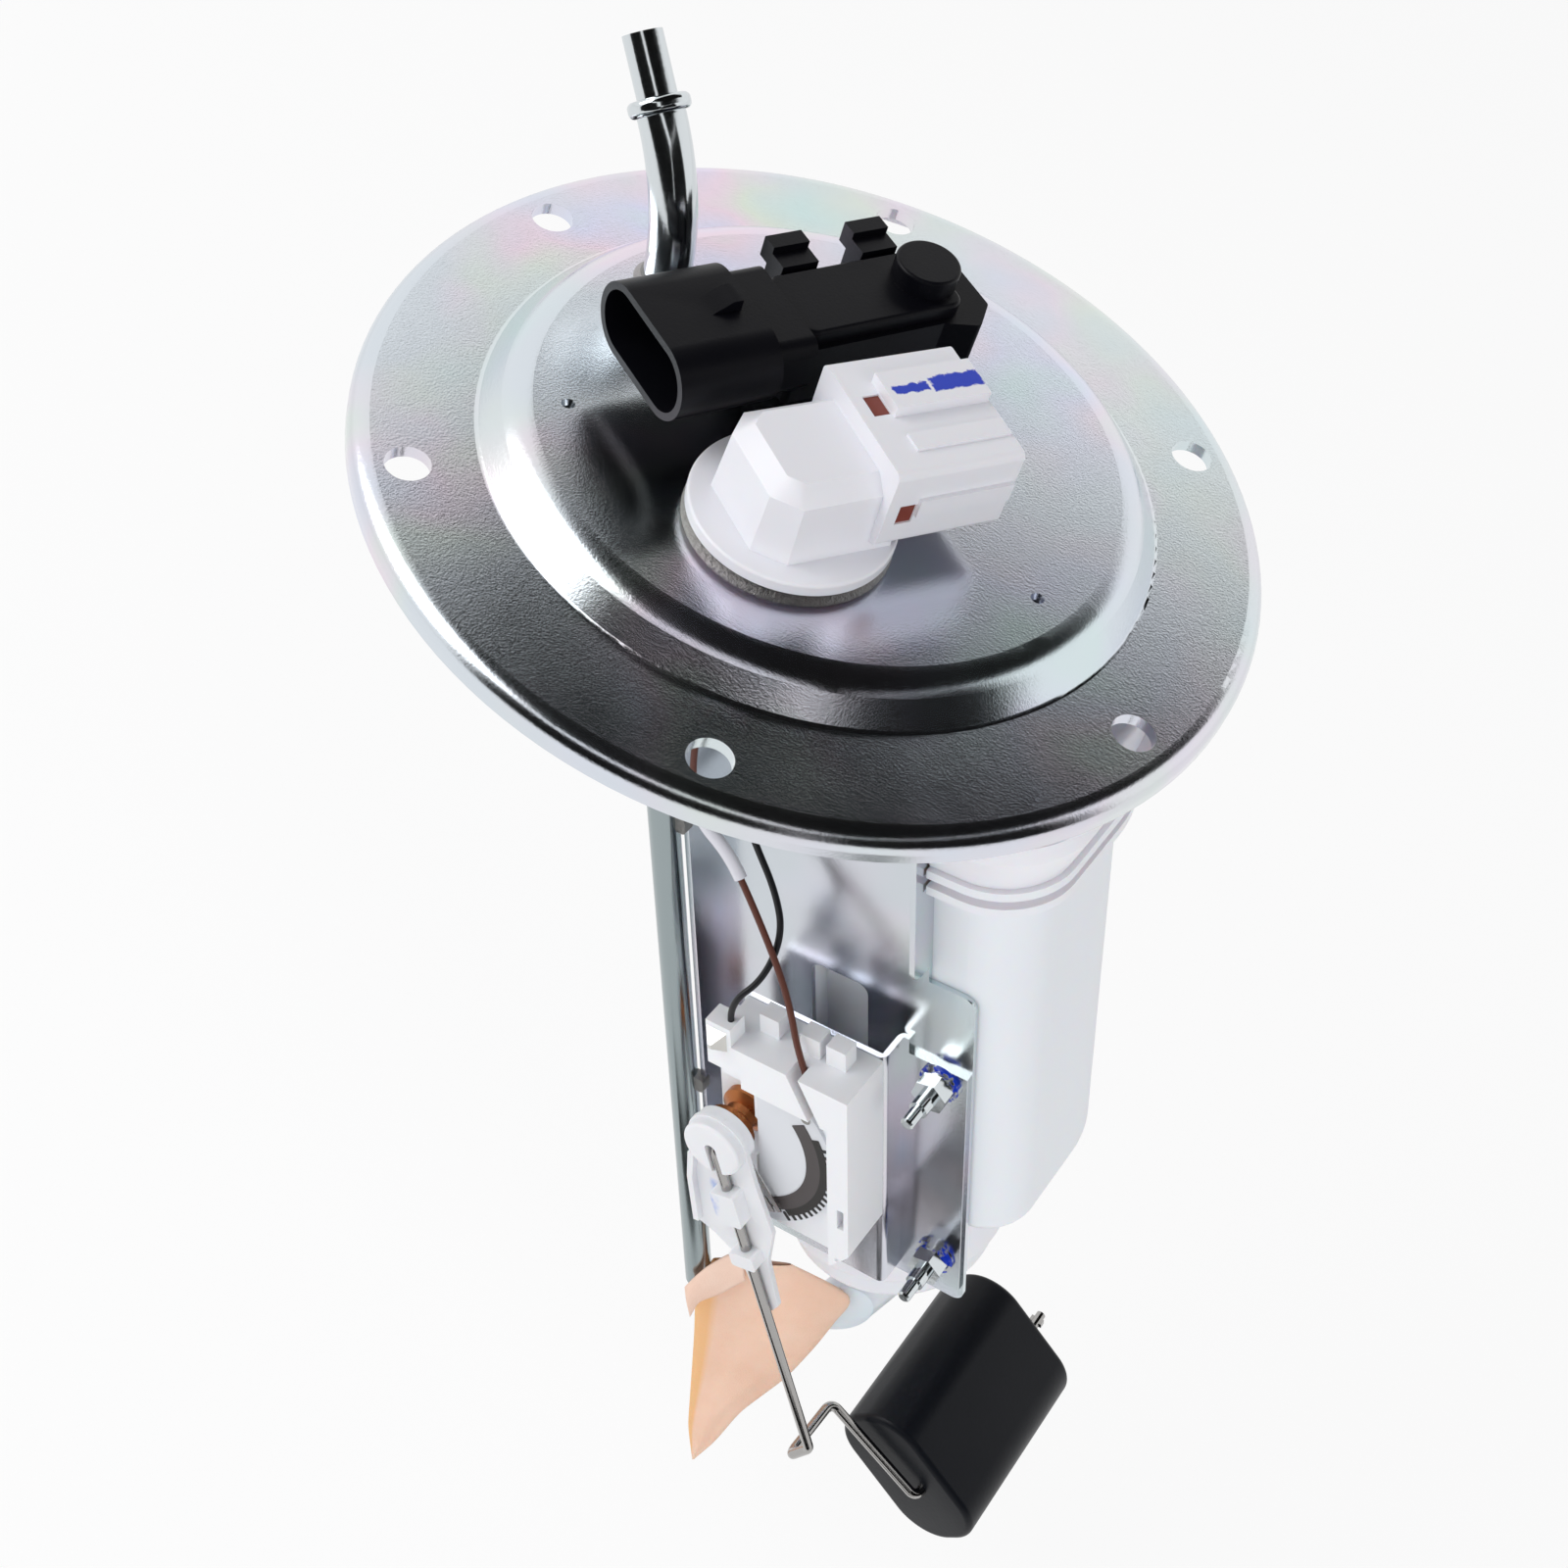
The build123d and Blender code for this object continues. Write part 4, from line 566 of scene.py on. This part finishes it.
# Strainer flap
# Loose end of the same felt that folds over the sock's upper left corner. The bag's seal
# holds it along its lower edge.
FLAP_TOP = [(-0.7, 7.5), (1.6, 10.6), (4.6, 13.9), (9.9, 18.0), (13.0, 19.0)]
FLAP_FOOT = [(0.1, -1.5), (2.1, 3.2), (7.5, 5.8), (10.6, 8.2), (13.5, 10.6)]
FLAP_ROWS = 14
FLAP_COLUMNS = 30
FLAP_DEPTH = 0.5
FLAP_BULGE = 0.6
FLAP_WAVE = 0.3
CLOTH_THICKNESS = 0.0005
FLAP_DARK = (0.90, 0.60, 0.47)
FLAP_LIGHT = (0.96, 0.74, 0.62)


def flap_points():
    """Straight lines between two edges, bulging by a sine and waving by a cosine along them."""
    top = edge_line(FLAP_TOP, FLAP_COLUMNS)[None]
    foot = edge_line(FLAP_FOOT, FLAP_COLUMNS)[None]
    share = np.linspace(0.0, 1.0, FLAP_ROWS)[:, None]
    wave = FLAP_WAVE * np.cos(np.linspace(0.0, 4.0, FLAP_COLUMNS))[None]
    depth = FLAP_DEPTH + FLAP_BULGE * np.sin(np.pi * share) + wave
    return on_strainer(top + (foot - top) * share[..., None], depth)


pale_felt = Finish("pale_felt", (0.93, 0.66, 0.52), 0.9)
pale_clouds = pale_felt.noise(120.0, 3.0, 0.6)
pale_felt.set("Base Color", pale_felt.mix(pale_clouds, FLAP_DARK, FLAP_LIGHT))
pale_felt.bump(pale_felt.noise(2600.0, 3.0, 0.8), 0.5, 0.0003)
flap = grid_mesh("strainer_flap", flap_points(), pale_felt, False)
thickness = flap.modifiers.new("cloth_thickness", "SOLIDIFY")
thickness.thickness = CLOTH_THICKNESS
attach(flap, "module")

# Strainer pad
# Thin oval plate of milky nylon that closes the strainer's neck. The felt is welded to it.
PAD_MIDDLE = (34.6, -1.0)
PAD_LONG = 9.0
PAD_WIDE = 6.6
PAD_LONG_WAY = (-0.972, -0.233)
PAD_WIDE_WAY = (0.233, -0.972)
PAD_FACES = (-4.7, -5.6)
PAD_RINGS = (0.02, 0.5, 0.97, 1.0, 1.0, 0.97, 0.5, 0.02)
PAD_EDGE = 0.15
PAD_AROUND = 64


def pad_points():
    """Flat oval drawn as rings: out from its middle on one face and back in on the other.

    A point is the middle plus cosine times the long half, plus sine times the wide half.
    """
    angle = np.linspace(0.0, 2.0 * np.pi, PAD_AROUND, endpoint=False)[None, :, None]
    front, back = PAD_FACES
    reach = np.array(PAD_RINGS)[:, None, None]
    depth = np.array([front] * 3 + [front - PAD_EDGE, back + PAD_EDGE] + [back] * 3)[:, None]
    flat = PAD_LONG * reach * np.cos(angle) * np.array(PAD_LONG_WAY)
    flat = flat + PAD_WIDE * reach * np.sin(angle) * np.array(PAD_WIDE_WAY) + np.array(PAD_MIDDLE)
    return on_strainer(flat, depth)


pad = grid_mesh("strainer_pad", pad_points(), milky, True)
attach(pad, "module")

# Wires
# Thin stranded wires in limp insulation. Brown and black run from the level sender up to the
# connector's tabs, red and black from there down to the pump. A clear sleeve guards two.
WIRE_THICKNESS = 0.0014
PUMP_WIRE_THICKNESS = 0.0013
BROWN_ROUTE = [
    (0.06735, -0.0544, -0.09569), (0.05852, -0.0536, -0.0865), (0.04934, -0.0496, -0.07532),
    (0.03763, -0.0464, -0.06602), (0.02611, -0.0444, -0.05667), (0.01727, -0.0458, -0.05064),
    (0.01224, -0.0446, -0.04019), (0.00942, -0.0416, -0.02848), (0.00669, -0.0396, -0.01833),
    (0.0032, -0.0382, -0.01), (0.0015, -0.0284, -0.0056), (0.0015, -0.0284, 0.001),
]
BLACK_ROUTE = [
    (0.04201, -0.0544, -0.08722), (0.04044, -0.0544, -0.08247), (0.04352, -0.0496, -0.07619),
    (0.04203, -0.0444, -0.0672), (0.03654, -0.0426, -0.05954), (0.02881, -0.0418, -0.05209),
    (0.02213, -0.042, -0.04271), (0.01751, -0.0404, -0.03002), (0.01289, -0.0394, -0.01733),
    (0.0098, -0.0386, -0.0096), (0.00941, -0.0327, -0.0052), (0.00941, -0.0327, 0.001),
]
PUMP_RED_ROUTE = [
    (0.0137, -0.0248, 0.001), (0.0137, -0.0248, -0.008), (0.019, -0.02, -0.015),
    (0.02558, -0.015, -0.01366), (0.02841, -0.015, -0.0222),
]
PUMP_BLACK_ROUTE = [
    (0.00579, -0.0205, 0.001), (0.00579, -0.0205, -0.009), (0.012, -0.012, -0.016),
    (0.01799, -0.008, -0.01617), (0.02081, -0.008, -0.02471),
]


def wire(name, route, diameter, finish):
    """Round cord along a smooth line that the route's points steer."""
    curve = bpy.data.curves.new(name, "CURVE")
    curve.dimensions = "3D"
    curve.bevel_depth = diameter / 2.0
    curve.bevel_resolution = 3
    curve.resolution_u = 12
    curve.use_fill_caps = True
    line = curve.splines.new("NURBS")
    line.points.add(len(route) - 1)
    for point, place in zip(line.points, route):
        point.co = (*place, 1.0)
    line.order_u = 3
    line.use_endpoint_u = True
    curve.materials.append(finish.material)
    made = bpy.data.objects.new(name, curve)
    bpy.context.scene.collection.objects.link(made)
    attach(made, "module")
    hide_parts(name.removesuffix("_cord"))


brown_cover = Finish("brown_insulation", (0.11, 0.032, 0.02), 0.42)
black_cover = Finish("black_insulation", (0.006, 0.006, 0.008), 0.38)
red_cover = Finish("red_insulation", (0.35, 0.02, 0.02), 0.4)
wire("brown_wire_cord", BROWN_ROUTE, WIRE_THICKNESS, brown_cover)
wire("black_wire_cord", BLACK_ROUTE, WIRE_THICKNESS, black_cover)
wire("pump_wire_red_cord", PUMP_RED_ROUTE, PUMP_WIRE_THICKNESS, red_cover)
wire("pump_wire_black_cord", PUMP_BLACK_ROUTE, PUMP_WIRE_THICKNESS, black_cover)

clear = Finish("clear_sleeve", (0.72, 0.72, 0.78), 0.2)
dress(clear, "wire_sleeve")

# Table and light
# White table under the module, shown white to the camera but keeping the module's shadow,
# three soft boxes, a bright room and black cards that only the metal mirrors.
FLOOR_GAP = 0.03
FLOOR_REACH = 6.0
FLOOR_WHITE = (0.92, 0.92, 0.93)
FLOOR_GLOW = 0.86
ROOM_LEVEL = 0.5
WHITE = (1.0, 1.0, 1.0)
CARDS = {
    "card_overhead": [(-0.6, -0.9, 1.0), (1.1, -0.9, 1.0), (1.1, 1.5, 1.0), (-0.6, 0.96, 1.0)],
    "card_in_front": [(-1.0, -1.5, -0.2), (1.3, -1.5, -0.2), (1.3, -1.5, 1.2), (-1.0, -1.5, 1.2)],
    "card_at_right": [(1.4, -1.5, -0.2), (1.4, 0.3, -0.2), (1.4, 0.3, 1.2), (1.4, -1.5, 1.2)],
    "card_below": [
        (0.03, -0.17, -0.27), (0.3, -0.17, -0.27), (0.3, -0.12, -0.27), (0.03, -0.12, -0.27),
    ],
}


class Room(Finish):
    """The light all round, its nodes written in the same way as a finish."""

    def __init__(self, name):
        self.world = bpy.data.worlds.new(name)
        self.world.use_nodes = True
        self.tree = self.world.node_tree
        self.shader = self.tree.nodes["Background"]


def seen_straight(finish):
    """1 where the camera, metal or glass looks at the surface, and 0 for the light it gives."""
    rays = finish.node("ShaderNodeLightPath")
    seen = finish.field(rays, "Is Camera Ray").math("MAXIMUM", finish.field(rays, "Is Glossy Ray"))
    return seen.math("MAXIMUM", finish.field(rays, "Is Transmission Ray"))


def plane(name, corners, finish):
    """Flat four-cornered sheet of the studio, not part of the module."""
    mesh = bpy.data.meshes.new(name)
    mesh.from_pydata(corners, [], [(0, 1, 2, 3)])
    mesh.materials.append(finish.material)
    made = bpy.data.objects.new(name, mesh)
    bpy.context.scene.collection.objects.link(made)
    made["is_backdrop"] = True
    return made


def soft_box(name, place, aim, size, power):
    """Rectangular lamp at place that faces aim."""
    data = bpy.data.lights.new(name, "AREA")
    data.shape = "RECTANGLE"
    data.size, data.size_y = size
    data.energy = power
    lamp = bpy.data.objects.new(name, data)
    back = np.array(place) - np.array(aim)
    back /= np.linalg.norm(back)
    right = np.cross((0.0, 0.0, 1.0), back)
    right /= np.linalg.norm(right)
    basis = Matrix((right, np.cross(back, right), back)).transposed().to_4x4()
    lamp.matrix_world = Matrix.Translation(place) @ basis
    bpy.context.scene.collection.objects.link(lamp)
    lamp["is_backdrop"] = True
    return lamp


white = Finish("white_floor", FLOOR_WHITE, 0.9)
glow = white.node("ShaderNodeEmission", values={"Color": WHITE, "Strength": 1.0})
sides = {0: seen_straight(white) * FLOOR_GLOW, 1: white.field(white.shader), 2: white.field(glow)}
blend = white.node("ShaderNodeMixShader", values=sides)
white.fill(white.tree.nodes["Material Output"].inputs["Surface"], white.field(blend))
floor_height = float(cad_low[2]) - FLOOR_GAP
floor_sides = ((-1, -1), (1, -1), (1, 1), (-1, 1))
plane("floor", [(FLOOR_REACH * x, FLOOR_REACH * y, floor_height) for x, y in floor_sides], white)

soft_box("soft_box_left", (-0.9, -0.5, 0.7), aim=(0.0, 0.0, -0.05), size=(0.9, 0.9), power=7.5)
side = soft_box("soft_box_right", (1.0, -0.4, 0.35), aim=(0.0, 0.0, -0.1), size=(0.6, 0.9), power=3.0)
front = soft_box("soft_box_front", (0.1, -1.2, 0.1), aim=(0.0, 0.0, -0.12), size=(0.9, 0.6), power=2.6)
side.visible_glossy = False
front.visible_glossy = False

room = Room("studio")
room.set("Color", WHITE)
room.set("Strength", seen_straight(room) * (1.0 - ROOM_LEVEL) + ROOM_LEVEL)
bpy.context.scene.world = room.world

dark = Finish("black_card", (0.0, 0.0, 0.0), 1.0)
for name, corners in CARDS.items():
    card = plane(name, corners, dark)
    card.visible_camera = False
    card.visible_diffuse = False
    card.visible_shadow = False
